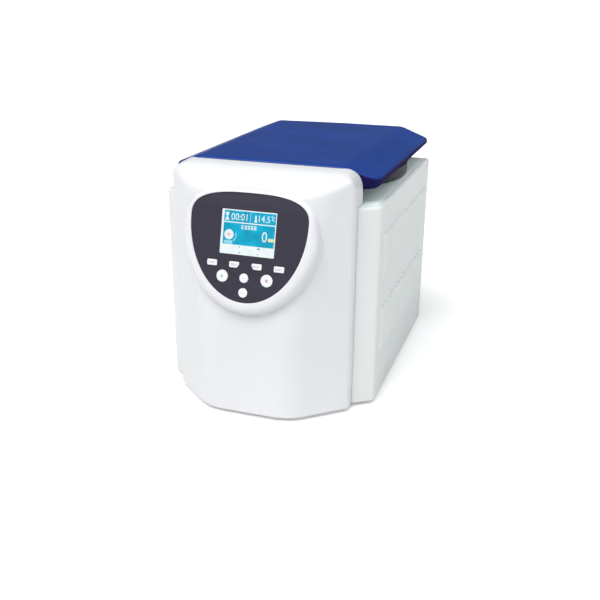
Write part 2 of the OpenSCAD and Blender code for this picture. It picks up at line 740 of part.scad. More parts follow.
crease_x = 132;
wing_drop = 22.5;
corner_y = 17.5;
frame_z = lid_edge_z + 6;
function lid_plan() = rounded([
    [-crease_x, lid_front, 10], [crease_x, lid_front, 10], [lid_half, corner_y, 8],
    [lid_half, lid_back, 6], [-lid_half, lid_back, 6], [-lid_half, corner_y, 8]], 6);
function lid_section() = rounded([
    [-lid_half, lid_top - 80, 0], [lid_half, lid_top - 80, 0], [lid_half, lid_top - wing_drop, 5],
    [crease_x, lid_top, 30], [-crease_x, lid_top, 30], [-lid_half, lid_top - wing_drop, 5]], 6);
// The lid as a full body, its skin moved inwards by t
module lid_solid(t) {
    intersection() {
        translate([0, 0, 200]) linear_extrude(height = 400) polygon(inset(lid_plan(), t));
        translate([0, lid_front, lid_top]) rotate([-lid_fall, 0, 0]) translate([0, 0, -lid_top])
            translate([0, 600, 0]) rotate([90, 0, 0]) linear_extrude(height = 700)
                polygon(inset(lid_section(), t));
    }
}
module lid_cover() {
    color(blue) place() difference() {
        intersection() {
            lid_solid(0);
            box([-300, -100, lid_edge_z], [300, 600, 600]);
        }
        lid_solid(mould_t);
    }
}
module lid_liner() {
    color(dark) place() at_chamber() rotate_extrude($fn = 160)
        polygon([[0, body_h + 8], [mouth_r - 14, body_h + 8], [mouth_r - 10, body_h + 2],
            [drum_r - 4, body_h + 2], [drum_r, body_h + 6], [drum_r, frame_z - 0.1],
            [drum_r - 3, frame_z - 0.1], [drum_r - 3, body_h + 7], [mouth_r - 8, body_h + 5],
            [mouth_r - 12, body_h + 11], [0, body_h + 11]]);
}
module lid_frame() {
    color(steel) place() {
        difference() {
            linear_extrude(height = frame_z + 2.5) polygon(rounded([
                [-140, 10, 20], [140, 10, 20], [176, 40, 20], [176, 410, 20], [140, 440, 20], [-140, 440, 20],
                [-176, 410, 20], [-176, 40, 20]], 4));
            box([-300, -100, -10], [300, 600, frame_z]);
        }
        difference() {
            box([-30, 12, frame_z + 2], [30, 44, frame_z + 14]);
            box([-27, 0, frame_z + 1], [27, 41, frame_z + 11]);
        }
    }
}
module lid_striker() {
    color([0.80, 0.81, 0.83]) place() difference() {
        union() {
            box([-2.5, 18, latch_z - 14], [2.5, 36, frame_z - 3]);
            box([-14, 16, frame_z - 3.1], [14, 38, frame_z - 0.1]);
        }
        box([-5, 22, latch_z - 6], [5, 32, latch_z + 6]);
    }
}
module panel_screws() {
    color(steel) place() {
        for (p = back_screws) translate([p.x, 0, p.y]) {
            along_y(body_d - 8, body_d + 0.1, 2);
            along_y(body_d + 0.05, body_d + 2.2, 3.8);
        }
        for (x = hinge_x, dx = [-14, 14], dz = [-34, -14]) translate([x + dx, 0, body_h + dz]) {
            along_y(body_d - 8, body_d + 3.2, 2.5);
            along_y(body_d + 3.05, body_d + 6, 3.8);
        }
    }
}

base_pan();
feet();
left_side_panel();
right_side_panel();
back_panel();
top_deck();
front_fascia();
control_bezel();
display_window();
lcd_module();
control_board();
key_f1();
key_f2();
key_f3();
key_f4();
key_start();
key_stop();
key_up();
key_down();
subframe();
armour_ring();
insulation_jacket();
evaporator_coil();
chamber_bowl();
chamber_gasket();
temperature_probe();
motor_dampers();
motor_body();
imbalance_sensor();
shaft_boot();
drive_shaft();
rotor();
rotor_nut();
compressor();
compressor_grommets();
condenser();
fan_shroud();
fan_motor();
fan_blades();
filter_dryer();
suction_line();
discharge_line();
electronics_tray();
inverter_drive();
power_supply();
power_inlet();
switch_frame();
power_rocker();
latch_housing();
latch_solenoid();
latch_bolt();
hinge_brackets();
hinge_pin();
hinge_springs();
lid_cover();
lid_liner();
lid_frame();
hinge_arms();
lid_striker();
panel_screws();
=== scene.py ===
"""Benchtop laboratory centrifuge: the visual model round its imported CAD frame.

Lengths are written in millimetres in the housing's own axes (x = 0 on the centre line, y = 0 at the
front corners of the side walls, z = 0 at the base pan) and turned into the frame's metres by world().
"""
import math
from contextlib import contextmanager

import bmesh
import bpy
import numpy as np
from mathutils import Matrix, Vector

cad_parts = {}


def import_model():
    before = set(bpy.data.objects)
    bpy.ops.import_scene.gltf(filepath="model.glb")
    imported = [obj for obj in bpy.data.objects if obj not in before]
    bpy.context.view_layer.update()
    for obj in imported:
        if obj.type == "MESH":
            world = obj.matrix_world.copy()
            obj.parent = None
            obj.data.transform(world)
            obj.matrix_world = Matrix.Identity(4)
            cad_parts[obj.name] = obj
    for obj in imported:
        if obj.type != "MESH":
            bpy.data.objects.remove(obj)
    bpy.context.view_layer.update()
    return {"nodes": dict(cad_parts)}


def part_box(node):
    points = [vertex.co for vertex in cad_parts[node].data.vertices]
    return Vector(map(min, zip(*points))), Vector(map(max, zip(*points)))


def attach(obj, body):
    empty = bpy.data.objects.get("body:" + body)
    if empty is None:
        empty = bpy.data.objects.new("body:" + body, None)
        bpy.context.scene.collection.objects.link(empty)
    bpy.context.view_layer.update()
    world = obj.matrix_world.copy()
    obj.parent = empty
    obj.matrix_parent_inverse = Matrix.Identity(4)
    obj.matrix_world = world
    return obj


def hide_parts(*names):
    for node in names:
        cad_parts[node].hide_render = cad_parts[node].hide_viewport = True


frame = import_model()

MM = 0.001
BODY_D = 442.5   # side walls, front to back
BODY_H = 364.0   # top of the housing over the base pan
HALF_W = 200.0   # half the housing's width
CHAMBER_Y = 250.0
FRONT_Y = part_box("back_panel")[1][1] / MM - BODY_D
FOOT_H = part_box("base_pan")[0][2] / MM


def world(p):
    """Millimetres in the housing's axes to metres in the frame."""
    return (np.asarray(p, dtype=float) + (0.0, FRONT_Y, FOOT_H)) * MM


# ---------------------------------------------------------------- camera and light

CAMERA_AT = (488.0, -1291.2, 704.8)
CAMERA_YAW = math.radians(18.47)
CAMERA_PITCH = math.radians(21.15)
CAMERA_ROLL = 0.0086874
CAMERA_LENS = 48.385


def make_camera():
    cy, sy = math.cos(CAMERA_YAW), math.sin(CAMERA_YAW)
    cp, sp = math.cos(CAMERA_PITCH), math.sin(CAMERA_PITCH)
    ahead = Vector((-sy * cp, cy * cp, -sp))
    right = Vector((cy, sy, 0.0))
    up = right.cross(ahead)
    cr, sr = math.cos(CAMERA_ROLL), math.sin(CAMERA_ROLL)
    right, up = right * cr + up * sr, up * cr - right * sr
    data = bpy.data.cameras.new("camera")
    data.lens = CAMERA_LENS
    data.sensor_width = 36.0
    data.clip_start = 0.05
    data.clip_end = 50.0
    cam = bpy.data.objects.new("camera", data)
    place = Matrix((right, up, -ahead)).transposed().to_4x4()
    place.translation = Vector(world(CAMERA_AT))
    cam.matrix_world = place
    bpy.context.collection.objects.link(cam)
    bpy.context.scene.camera = cam


def sun_light(towards, strength, spread, colour):
    """A broad distant light; towards points from the object to the light."""
    data = bpy.data.lights.new("softbox", "SUN")
    data.color = colour
    data.energy = strength
    data.angle = math.radians(spread)
    ob = bpy.data.objects.new("softbox", data)
    ob.rotation_euler = Vector(towards).to_track_quat("Z", "Y").to_euler()
    bpy.context.collection.objects.link(ob)


# ---------------------------------------------------------------- mesh helpers

POINT_WELD = 1e-6


@contextmanager
def editing(mesh):
    """The mesh as a bmesh, written back at the end."""
    bm = bmesh.new()
    bm.from_mesh(mesh)
    yield bm
    bm.to_mesh(mesh)
    bm.free()


def sharpen_open_edges(mesh):
    """Keeps a sheet's faces flat up to its cut edges once it is thickened."""
    with editing(mesh) as bm:
        for e in bm.edges:
            if e.is_boundary:
                e.smooth = False


def link(name, mesh, material, body, replaced, smooth):
    """One finished piece: its material, the CAD body it rides on and the nodes it stands for."""
    ob = bpy.data.objects.new(name, mesh)
    bpy.context.collection.objects.link(ob)
    mesh.materials.append(material)
    if smooth is not None:
        mesh.shade_smooth()
        mesh.set_sharp_from_angle(angle=math.radians(smooth))
        sharpen_open_edges(mesh)
    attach(ob, body)
    if replaced:
        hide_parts(*replaced)
    return ob


def mesh_from(name, verts_mm, faces, weld=0.0):
    mesh = bpy.data.meshes.new(name)
    mesh.from_pydata([tuple(p) for p in world(verts_mm)], [], faces)
    if weld:
        with editing(mesh) as bm:
            bmesh.ops.remove_doubles(bm, verts=bm.verts, dist=weld * MM)
            bmesh.ops.recalc_face_normals(bm, faces=bm.faces)
    mesh.validate()
    return mesh


def drop_loose(bm):
    """Removes the points that no face uses."""
    bmesh.ops.delete(bm, geom=[v for v in bm.verts if not v.link_faces], context="VERTS")


def thicken(ob, mm):
    """Gives a sheet its wall thickness, on the inside."""
    mod = ob.modifiers.new("thickness", "SOLIDIFY")
    mod.thickness = mm * MM
    mod.offset = -1.0


def grid_faces(nu, nv, close_u=False, close_v=False, skip=None, start=0):
    """Quads of a grid of nu by nv points, open or closed each way."""
    faces = []
    for i in range(nu if close_u else nu - 1):
        for j in range(nv if close_v else nv - 1):
            if skip is not None and skip(i, j):
                continue
            a, b = i % nu, (i + 1) % nu
            c, d = j % nv, (j + 1) % nv
            faces.append((start + a * nv + c, start + b * nv + c, start + b * nv + d, start + a * nv + d))
    return faces


def smax(a, b, k):
    """The larger of a and b with the corner between them rounded over a width k."""
    h = np.clip(0.5 + 0.5 * (a - b) / k, 0.0, 1.0)
    return b + (a - b) * h + k * h * (1.0 - h)


def unit(v):
    return v / np.maximum(np.linalg.norm(v, axis=-1, keepdims=True), 1e-12)


def arc(cx, cy, r, a0, a1, n):
    a = np.radians(np.linspace(a0, a1, n))
    return np.stack([cx + r * np.cos(a), cy + r * np.sin(a)], -1)


def revolve(profile, centre, steps):
    """Verts and faces of a closed profile [(r, z)] turned round an upright axis through centre."""
    p = np.asarray(profile, dtype=float)
    a = np.linspace(0, 2 * np.pi, steps, endpoint=False)
    ring = np.stack([p[None, :, 0] * np.cos(a)[:, None], p[None, :, 0] * np.sin(a)[:, None],
                     np.broadcast_to(p[None, :, 1], (steps, len(p)))], -1)
    verts = ring.reshape(-1, 3) + np.asarray(centre, dtype=float)
    return verts, grid_faces(steps, len(p), close_u=True, close_v=True)


def rounded_rect(w, h, r, n=8):
    """Outline of a rounded rectangle about the origin, counter-clockwise."""
    x, y = w / 2 - r, h / 2 - r
    return np.concatenate([arc(x, y, r, 0, 90, n), arc(-x, y, r, 90, 180, n),
                           arc(-x, -y, r, 180, 270, n), arc(x, -y, r, 270, 360, n)])


def resample(points, n, closed=True):
    """n points at even spacing along a polyline."""
    p = np.asarray(points, dtype=float)
    if closed:
        p = np.vstack([p, p[:1]])
    d = np.concatenate([[0], np.cumsum(np.linalg.norm(np.diff(p, axis=0), axis=1))])
    s = np.linspace(0, d[-1], n, endpoint=not closed)
    return np.stack([np.interp(s, d, p[:, k]) for k in range(p.shape[1])], -1)


def mesh_of_curve(name, curve):
    """The mesh of a curve or of text, and its points."""
    ob = bpy.data.objects.new(name, curve)
    bpy.context.collection.objects.link(ob)
    bpy.context.view_layer.update()
    mesh = bpy.data.meshes.new_from_object(ob.evaluated_get(bpy.context.evaluated_depsgraph_get()))
    bpy.data.objects.remove(ob)
    bpy.data.curves.remove(curve)
    points = np.empty(len(mesh.vertices) * 3)
    mesh.vertices.foreach_get("co", points)
    return mesh, points.reshape(-1, 3)


def set_points(mesh, name, points_mm):
    """Moves a mesh's points to their places in the frame and welds the doubles."""
    mesh.vertices.foreach_set("co", world(points_mm).ravel())
    mesh.update()
    with editing(mesh) as bm:
        bmesh.ops.remove_doubles(bm, verts=bm.verts, dist=POINT_WELD)
    mesh.name = name


def plate(name, outline, holes, z0, z1, bevel, to_space):
    """A flat plate with holes and rounded edges, filled as a bevelled 2D curve.

    outline and holes are lists of 2D points in mm; to_space maps (x, y, n) rows to the housing's axes.
    """
    curve = bpy.data.curves.new(name + "_outline", "CURVE")
    curve.dimensions = "2D"
    curve.fill_mode = "BOTH"
    for pts in [outline] + list(holes):
        s = curve.splines.new("POLY")
        s.points.add(len(pts) - 1)
        for q, (x, y) in zip(s.points, pts):
            q.co = (x, y, 0, 1)
        s.use_cyclic_u = True
    curve.extrude = (z1 - z0) / 2 - bevel
    curve.bevel_depth = bevel
    curve.bevel_resolution = 3
    curve.offset = -bevel
    mesh, points = mesh_of_curve(name + "_outline", curve)
    points[:, 2] += (z0 + z1) / 2
    set_points(mesh, name, to_space(points))
    with editing(mesh) as bm:
        bmesh.ops.recalc_face_normals(bm, faces=bm.faces)
    return mesh


# ---------------------------------------------------------------- materials

def new_material(name):
    m = bpy.data.materials.new(name)
    m.use_nodes = True
    nt = m.node_tree
    nt.nodes.clear()
    out = nt.nodes.new("ShaderNodeOutputMaterial")
    bsdf = nt.nodes.new("ShaderNodeBsdfPrincipled")
    nt.links.new(bsdf.outputs[0], out.inputs[0])
    return m, nt, bsdf


def node(nt, kind, **values):
    n = nt.nodes.new(kind)
    for k, v in values.items():
        if hasattr(n, k):
            setattr(n, k, v)
        else:
            n.inputs[k.replace("_", " ")].default_value = v
    return n


def noise(nt, vector, scale, detail, roughness):
    n = node(nt, "ShaderNodeTexNoise", Scale=scale, Detail=detail, Roughness=roughness)
    nt.links.new(vector, n.inputs["Vector"])
    return n.outputs["Fac"]


def span(nt, source, low, high):
    """The source's 0 to 1 stretched to low to high."""
    n = node(nt, "ShaderNodeMapRange", To_Min=low, To_Max=high)
    nt.links.new(source, n.inputs[0])
    return n.outputs[0]


def drifting(nt, source, colour, vary):
    """A colour that wanders by the share vary either way, led by source."""
    ramp = node(nt, "ShaderNodeValToRGB")
    for i, (at, k) in enumerate(((0.3, 1 - vary), (0.7, 1 + vary))):
        ramp.color_ramp.elements[i].position = at
        ramp.color_ramp.elements[i].color = (*(min(1.0, c * k) for c in colour), 1)
    nt.links.new(source, ramp.inputs[0])
    return ramp.outputs[0]


def blended(nt, level, kind, low, high):
    """A constant where level is 0, the value of the socket high where it is 1."""
    mix = node(nt, "ShaderNodeMix", data_type=kind)
    a, b, out = (6, 7, 2) if kind == "RGBA" else (2, 3, 0)
    nt.links.new(level, mix.inputs["Factor"])
    mix.inputs[a].default_value = low
    nt.links.new(high, mix.inputs[b])
    return mix.outputs[out]


SMUDGE = 2.7        # smudges are this much finer than the colour's drift
BUMP_DEPTH = 0.0004
# painted shade: faces whose normal points less upward than this take on the dark under colour
PAINTED_SHADE_TURN = 0.75   # upward share of the normal at which a face counts as the top


def surface(name, colour, rough, vary, vary_scale=9.0, bump=0.02, bump_scale=900.0, rough_vary=0.05,
            metallic=0.0, coat=0.0, coat_rough=0.08, specular=0.5, stretch=(1, 1, 1), under=None):
    """Moulded, painted or machined surface: slow colour drift, fine surface texture and uneven gloss.

    Faces that turn away from the piece's own upward direction take the colour under, a painted shade for the
    shadow such faces would be in, and are dull.
    """
    m, nt, bsdf = new_material(name)
    coord = node(nt, "ShaderNodeTexCoord")
    mapping = node(nt, "ShaderNodeMapping")
    mapping.inputs["Scale"].default_value = stretch
    nt.links.new(coord.outputs["Object"], mapping.inputs["Vector"])
    place = mapping.outputs[0]
    colour_out = drifting(nt, noise(nt, place, vary_scale, 4.0, 0.55), colour, vary)
    smudge = noise(nt, place, vary_scale * SMUDGE, 5.0, 0.65)
    rough_out = span(nt, smudge, max(0.02, rough - rough_vary), min(1.0, rough + rough_vary))
    if under:
        # painted shade: the dark colour under is mixed in as the face's normal turns from up to sideways and
        # down
        split = node(nt, "ShaderNodeSeparateXYZ")
        nt.links.new(coord.outputs["Normal"], split.inputs[0])
        level = node(nt, "ShaderNodeMapRange", interpolation_type="SMOOTHSTEP", From_Max=PAINTED_SHADE_TURN)
        nt.links.new(split.outputs["Z"], level.inputs[0])
        colour_out = blended(nt, level.outputs[0], "RGBA", (*under, 1), colour_out)
        rough_out = blended(nt, level.outputs[0], "FLOAT", 1.0, rough_out)
    nt.links.new(colour_out, bsdf.inputs["Base Color"])
    nt.links.new(rough_out, bsdf.inputs["Roughness"])
    b = node(nt, "ShaderNodeBump", Strength=bump, Distance=BUMP_DEPTH)
    nt.links.new(noise(nt, place, bump_scale, 2.0, 0.5), b.inputs["Height"])
    nt.links.new(b.outputs[0], bsdf.inputs["Normal"])
    bsdf.inputs["Metallic"].default_value = metallic
    bsdf.inputs["Specular IOR Level"].default_value = specular
    bsdf.inputs["Coat Weight"].default_value = coat
    bsdf.inputs["Coat Roughness"].default_value = coat_rough
    return m


# ---------------------------------------------------------------- front moulding

FASCIA_HALF = 165.0
FRONT_BULGE = 121.0
LEAN = ((-122.0, 165.0), (-87.0, 395.0))    # (y, z): the front leans back above the panel's foot
SLOPE = ((-87.0, 395.0), (-38.0, 423.5))    # (y, z): the shoulder
CROWN = ((-38.0, 423.5), (-8.0, 430.0))     # (y, z): its flatter top
FACET = ((77.0, -121.0), (165.0, -45.0))    # (x, y): the slanted face on each side
FACET_TURN = (151.0, -38.3, 14.0)           # (x, y, radius) where the facet meets the side
FACET_BEND = (61.5, -79.0, 42.0)            # (x, y, radius) where it meets the front
SHOULDER_Z = 395.0
CORNER_X = 132.0
CORNER_R = 33.0
REAR_Y = -14.5
REAR_SLOPE = 34.5 / 68.0
AXIS_Y = 35.0                               # upright axis from which the skin is found
FIND_Z = (300.0, 445.0)
FIND_OUT = 260.0
HALVINGS = 42

PANEL_C = np.array((0.0, -104.5, 326.7))
TILT = math.radians(14.3)
S_DIR = np.array((0.0, math.sin(TILT), math.cos(TILT)))
N_DIR = np.array((0.0, -math.cos(TILT), math.sin(TILT)))


def line_gap(u, v, p, q):
    """Signed distance of (u, v) to the left of the line from p to q."""
    dx, dy = q[0] - p[0], q[1] - p[1]
    length = math.hypot(dx, dy)
    return (-(v - p[1]) * dx + (u - p[0]) * dy) / -length


def fascia_gap(x, y, z):
    """Below 0 inside the front moulding, above 0 outside it."""
    ax = np.abs(x)
    front = -(y + FRONT_BULGE)
    lean = line_gap(y, z, *LEAN)
    facet = -line_gap(ax, y, *FACET)
    side = ax - FASCIA_HALF
    slope = line_gap(y, z, *SLOPE)
    crown = line_gap(y, z, *CROWN)
    dz = z - SHOULDER_Z
    corner = np.hypot(np.maximum(ax - CORNER_X, 0), np.maximum(dz, 0)) - CORNER_R
    body = smax(smax(smax(front, lean, 3.0), facet, 20.0), side, 5.2)
    body = smax(body, smax(slope, crown, 3.0), 9.0)
    return smax(body, corner, np.clip(dz / 25.0, 0.001, 1.0) * 7.0)


def solve(inside, outside):
    """The share of the way from inside to outside at which the moulding's skin lies."""
    lo = np.zeros(inside.shape[:-1])
    hi = np.ones(inside.shape[:-1])
    for _ in range(HALVINGS):
        mid = (lo + hi) / 2
        p = inside + (outside - inside) * mid[..., None]
        out = fascia_gap(p[..., 0], p[..., 1], p[..., 2]) > 0
        hi = np.where(out, mid, hi)
        lo = np.where(out, lo, mid)
    return (lo + hi) / 2


def rear_y(x):
    """Rear edge of the moulding: straight, then swept back beyond the corners."""
    return REAR_Y + np.maximum(np.abs(x) - CORNER_X, 0) * REAR_SLOPE


MIN_TURN = 0.003


def fascia_columns():
    """Directions, seen from the upright axis behind the moulding, of all columns from right to left."""
    th = np.radians(np.linspace(1.2, 90, 22))
    corner_x = CORNER_X + CORNER_R * np.cos(th)
    corner = np.stack([corner_x, rear_y(corner_x)], -1)
    side = np.stack([np.full(3, FASCIA_HALF), np.array((-29.0, -33.0, -37.0))], -1)
    turn = arc(*FACET_TURN, 0, -49, 11)
    x = np.linspace(160.0, 92.0, 46)
    facet = np.stack([x, np.interp(x, *zip(*FACET))], -1)
    bend = arc(*FACET_BEND, -49.2, -90, 16)
    front = np.stack([np.linspace(60.0, 0.0, 31), np.full(31, -FRONT_BULGE)], -1)
    pts = np.vstack([corner, side, turn, facet, bend, front])
    ang = np.arctan2(pts[:, 0], AXIS_Y - pts[:, 1])
    half = [ang[0]]
    for a in ang[1:]:
        if a < half[-1] - MIN_TURN:
            half.append(a)
    half[-1] = 0.0
    half = np.array(half)
    return np.concatenate([half, -half[-2::-1]])


LOW_ROWS = 34
HIGH_ROWS = 150
SPLIT_Z = 185.0
UP_POINTS = 900
TOP_CROWDING = 2.2


def fascia_grid():
    """Points of the moulding's plain skin, column by column and upwards."""
    ang = fascia_columns()
    d = np.stack([np.sin(ang), -np.cos(ang), np.zeros_like(ang)], -1)
    deep = AXIS_Y - REAR_Y
    rho = deep / np.cos(ang)
    wide = rho * np.abs(d[:, 0]) > CORNER_X
    swept = (deep + CORNER_X * REAR_SLOPE) / (np.cos(ang) + REAR_SLOPE * np.abs(d[:, 0]))
    rho = np.where(wide, swept, rho)
    rear = np.array((0.0, AXIS_Y, 0.0)) + d * rho[:, None]
    k = solve(rear + (0, 0, FIND_Z[0]), rear + (0, 0, FIND_Z[1]))
    z_end = FIND_Z[0] + (FIND_Z[1] - FIND_Z[0]) * k
    z_low = np.linspace(0, SPLIT_Z, LOW_ROWS, endpoint=False)
    t = np.linspace(0, 1, UP_POINTS)
    columns = []
    for i in range(len(ang)):
        z_up = SPLIT_Z + (z_end[i] - SPLIT_Z) * (1 - (1 - t) ** TOP_CROWDING)
        z_up[-1] = z_end[i]
        z = np.concatenate([z_low, z_up])
        base = np.stack([np.full_like(z, rear[i, 0]), np.full_like(z, rear[i, 1]), z], -1)
        k = solve(base, base + d[i] * FIND_OUT)
        p = base + d[i] * FIND_OUT * k[:, None]
        p[-1] = base[-1]
        columns.append(np.vstack([p[:LOW_ROWS], resample(p[LOW_ROWS:], HIGH_ROWS, closed=False)]))
    return np.array(columns)


def to_panel(p):
    """Housing axes to the panel's own: (x, s up the panel, n out of it)."""
    q = np.asarray(p) - PANEL_C
    return np.stack([q[..., 0], q @ S_DIR, q @ N_DIR], -1)


def from_panel(q):
    q = np.asarray(q, dtype=float)
    return PANEL_C + np.stack([q[..., 0], np.zeros_like(q[..., 0]), np.zeros_like(q[..., 0])], -1) \
        + q[..., 1:2] * S_DIR + q[..., 2:3] * N_DIR


def power(v, e):
    return np.sign(v) * np.abs(v) ** e


SHIELD_HALF = 104.5
SHIELD_MID = 20
SHIELD_UP = 46.5
SHIELD_DOWN = 137.0
SHIELD_FULLNESS = 0.70
SHIELD_POINTS = 2880


def shield(n):
    """The black panel's outline on its own plane: half an ellipse below, a fuller curve above."""
    a = np.radians(np.linspace(0, 360, SHIELD_POINTS, endpoint=False))
    up = np.sin(a) >= 0
    x = np.where(up, SHIELD_HALF * power(np.cos(a), SHIELD_FULLNESS), SHIELD_HALF * np.cos(a))
    s = np.where(up, SHIELD_MID + SHIELD_UP * power(np.sin(a), SHIELD_FULLNESS),
                 SHIELD_MID + SHIELD_DOWN * np.sin(a))
    return resample(np.stack([x, s], -1), n)


def outline_normals(p):
    """Outward directions of a closed outline, slightly smoothed."""
    t = np.roll(p, -1, axis=0) - np.roll(p, 1, axis=0)
    n = np.stack([t[:, 1], -t[:, 0]], -1)
    for _ in range(4):
        n = unit(np.roll(n, 1, axis=0) + 2 * n + np.roll(n, -1, axis=0))
    return unit(n)


SHIELD = shield(720)
FINE = shield(SHIELD_POINTS)

RIM_WIDE, RIM_NARROW = 20.0, 8.0
RIM_FROM, RIM_OVER = -30.0, 90.0
RIM_TOP = 1.5
RIM_FALL = 17.0
RIM_ROUND = 2.3
RIM_TAIL = 6.0
BLEND = 10.0
CHUNK = 2000


def rim_width(s):
    """Width of the white rim round the panel: narrow above, wide below."""
    t = np.clip((s - RIM_FROM) / RIM_OVER, 0, 1)
    return RIM_WIDE - (RIM_WIDE - RIM_NARROW) * t * t * (3 - 2 * t)


def near_outline(q, outline):
    """(distance outside the outline, nearest outline point) for points (x, s)."""
    flat = np.asarray(q).reshape(-1, 2)
    normals = outline_normals(outline)
    dist = np.empty(len(flat))
    foot = np.empty((len(flat), 2))
    for i in range(0, len(flat), CHUNK):
        part = flat[i:i + CHUNK]
        gap = np.linalg.norm(part[:, None] - outline[None], axis=2)
        j = gap.argmin(1)
        side = np.einsum("ij,ij->i", part - outline[j], normals[j])
        dist[i:i + CHUNK] = np.where(side >= 0, gap.min(1), -gap.min(1))
        foot[i:i + CHUNK] = outline[j]
    return dist.reshape(q.shape[:-1]), foot.reshape(q.shape)


def rim_height(d, w):
    """Height of the rolled rim over the panel's plane, d outside the outline."""
    t = np.clip(d / w, 0, 1)
    fall = 1 - (1 - t ** RIM_ROUND) ** (1 / RIM_ROUND)
    return RIM_TOP - RIM_FALL * fall - np.maximum(d - w, 0) * RIM_TAIL


FIND_N = (-90.0, 30.0)


def skin_height(xs):
    """Height of the moulding's plain skin over the panel's plane at (x, s)."""
    xs = np.asarray(xs)
    low, high = (from_panel(np.concatenate([xs, np.full(xs.shape[:-1] + (1,), n)], -1)) for n in FIND_N)
    return FIND_N[0] + (FIND_N[1] - FIND_N[0]) * solve(low, high)


FRONT_N = -60.0      # deeper points belong to the far side of the moulding
FAR = 99.0
RIM_ROWS = 34
RIM_LINE = 260
RIM_SOFT = 7.0
LIP = ((0.25, -0.1), (0.4, -0.4))
LIP_FLOOR = -2.7
LIP_REACH = (0.4, 7.0)
WALL_DROPS = (1.2, 14.0, 200.0)
FASCIA_WELD = 2e-5


def snap_to_rim(grid):
    """Moves the grid's nearest points onto the outer edge of the rim's blend.

    Returns which points lie on that edge, and -1, 0 or 1 for inside, on or outside it.
    """
    nu, nv = grid.shape[:2]
    q = to_panel(grid)
    outer = near_outline(q[..., :2], SHIELD)[0] - (rim_width(q[..., 1]) + BLEND)
    outer = np.where((q[..., 2] > FRONT_N) & (np.arange(nv) >= LOW_ROWS - 8)[None, :], outer, FAR)
    on = np.zeros((nu, nv), dtype=bool)
    for a, b in ((np.s_[:-1, :], np.s_[1:, :]), (np.s_[:, :-1], np.s_[:, 1:])):
        cross = outer[a] * outer[b] < 0
        first = cross & (np.abs(outer[a]) <= np.abs(outer[b]))
        on[a] |= first
        on[b] |= cross & ~first
    xs = q[on][:, :2]
    for _ in range(4):
        d, foot = near_outline(xs, FINE)
        xs = xs - unit(xs - foot) * (d - rim_width(xs[:, 1]) - BLEND)[:, None]
    grid[on] = from_panel(np.column_stack([xs, skin_height(xs)]))
    return on, np.where(on, 0, np.where(outer < 0, -1, 1))


def skin_faces(state):
    """Quads outside the edge, and triangles where it crosses one."""
    nu, nv = state.shape
    faces = []
    for i in range(nu - 1):
        for j in range(nv - 1):
            ring = [(i, j), (i + 1, j), (i + 1, j + 1), (i, j + 1)]
            st = [state[c] for c in ring]
            ids = [c[0] * nv + c[1] for c in ring]
            if min(st) >= 0 and max(st) > 0:
                faces.append(tuple(ids))
            elif min(st) < 0 < max(st):
                k = st.index(1)
                faces.append((ids[k - 1], ids[k], ids[(k + 1) % 4]))
    return faces


def hole_loop(faces, on):
    """The points round the hole, in order."""
    sides = dict.fromkeys(pair for f in faces for pair in zip(f, f[1:] + f[:1]))
    follow = {a: b for a, b in sides if (b, a) not in sides and on[a] and on[b]}
    start = next(iter(follow))
    loop = [start]
    while follow[loop[-1]] != start:
        loop.append(follow[loop[-1]])
    return loop


def rim_rings(edge):
    """The rolled rim from each edge point (x, s) in to the panel, and down its inner lip."""
    d_out, foot = near_outline(edge, FINE)
    toward = unit(edge - foot)
    w = rim_width(edge[:, 1])
    t = np.linspace(1, 0, RIM_LINE)
    d_line = np.where(t[None] > 0.5, w[:, None] + (d_out - w)[:, None] * (t[None] - 0.5) * 2,
                      w[:, None] * (1 - (1 - 2 * np.minimum(t[None], 0.5)) ** 2.0))
    line = foot[:, None] + toward[:, None] * d_line[..., None]
    height = smax(skin_height(line), rim_height(d_line, w[:, None]), RIM_SOFT)
    rings = np.concatenate([line, height[..., None]], -1)
    rings = np.array([resample(r, RIM_ROWS, closed=False) for r in rings])
    n = len(edge)
    lip = rings[:, -1]
    inner = [lip + np.column_stack([toward * -k, np.full(n, dz)]) for k, dz in LIP]
    inner += [np.column_stack([foot - toward * k, np.full(n, LIP_FLOOR)]) for k in LIP_REACH]
    return np.concatenate([rings[:, 1:], np.stack(inner, 1)], 1)


def make_fascia(material):
    grid = fascia_grid()
    nu, nv = grid.shape[:2]
    on, state = snap_to_rim(grid)
    verts = grid.reshape(-1, 3)
    faces = skin_faces(state)
    loop = hole_loop(faces, on.reshape(-1))
    rings = rim_rings(to_panel(verts[loop])[:, :2])
    n, m = rings.shape[:2]
    base = len(verts)
    for i in range(n):
        k = (i + 1) % n
        faces.append((loop[k], loop[i], base + i * m, base + k * m))
        for r in range(m - 1):
            faces.append((base + k * m + r, base + i * m + r, base + i * m + r + 1, base + k * m + r + 1))
    # closing wall behind the shoulder, down to the deck
    top = [i * nv + nv - 1 for i in range(nu)]
    above = top
    wall = []
    first = base + n * m
    for row, drop in enumerate(WALL_DROPS):
        line = verts[top].copy()
        line[:, 1] += 0.6 if row == 0 else 0.7
        line[:, 2] = np.maximum(line[:, 2] - drop, BODY_H - 2.0)
        wall.append(line)
        here = [first + row * nu + i for i in range(nu)]
        faces += [(above[i], above[i + 1], here[i + 1], here[i]) for i in range(nu - 1)]
        above = here
    mesh = mesh_from("front_moulding", np.vstack([verts, from_panel(rings).reshape(-1, 3)] + wall), faces)
    with editing(mesh) as bm:
        drop_loose(bm)
        bmesh.ops.remove_doubles(bm, verts=bm.verts, dist=FASCIA_WELD)
        bmesh.ops.recalc_face_normals(bm, faces=bm.faces)
        foremost = min(bm.faces, key=lambda f: f.calc_center_median().y)
        if foremost.normal.y > 0:
            bmesh.ops.reverse_faces(bm, faces=bm.faces)
    ob = link("front_moulding", mesh, material, "housing", ("front_fascia",), smooth=38)
    thicken(ob, 2.4)


# ---------------------------------------------------------------- lid

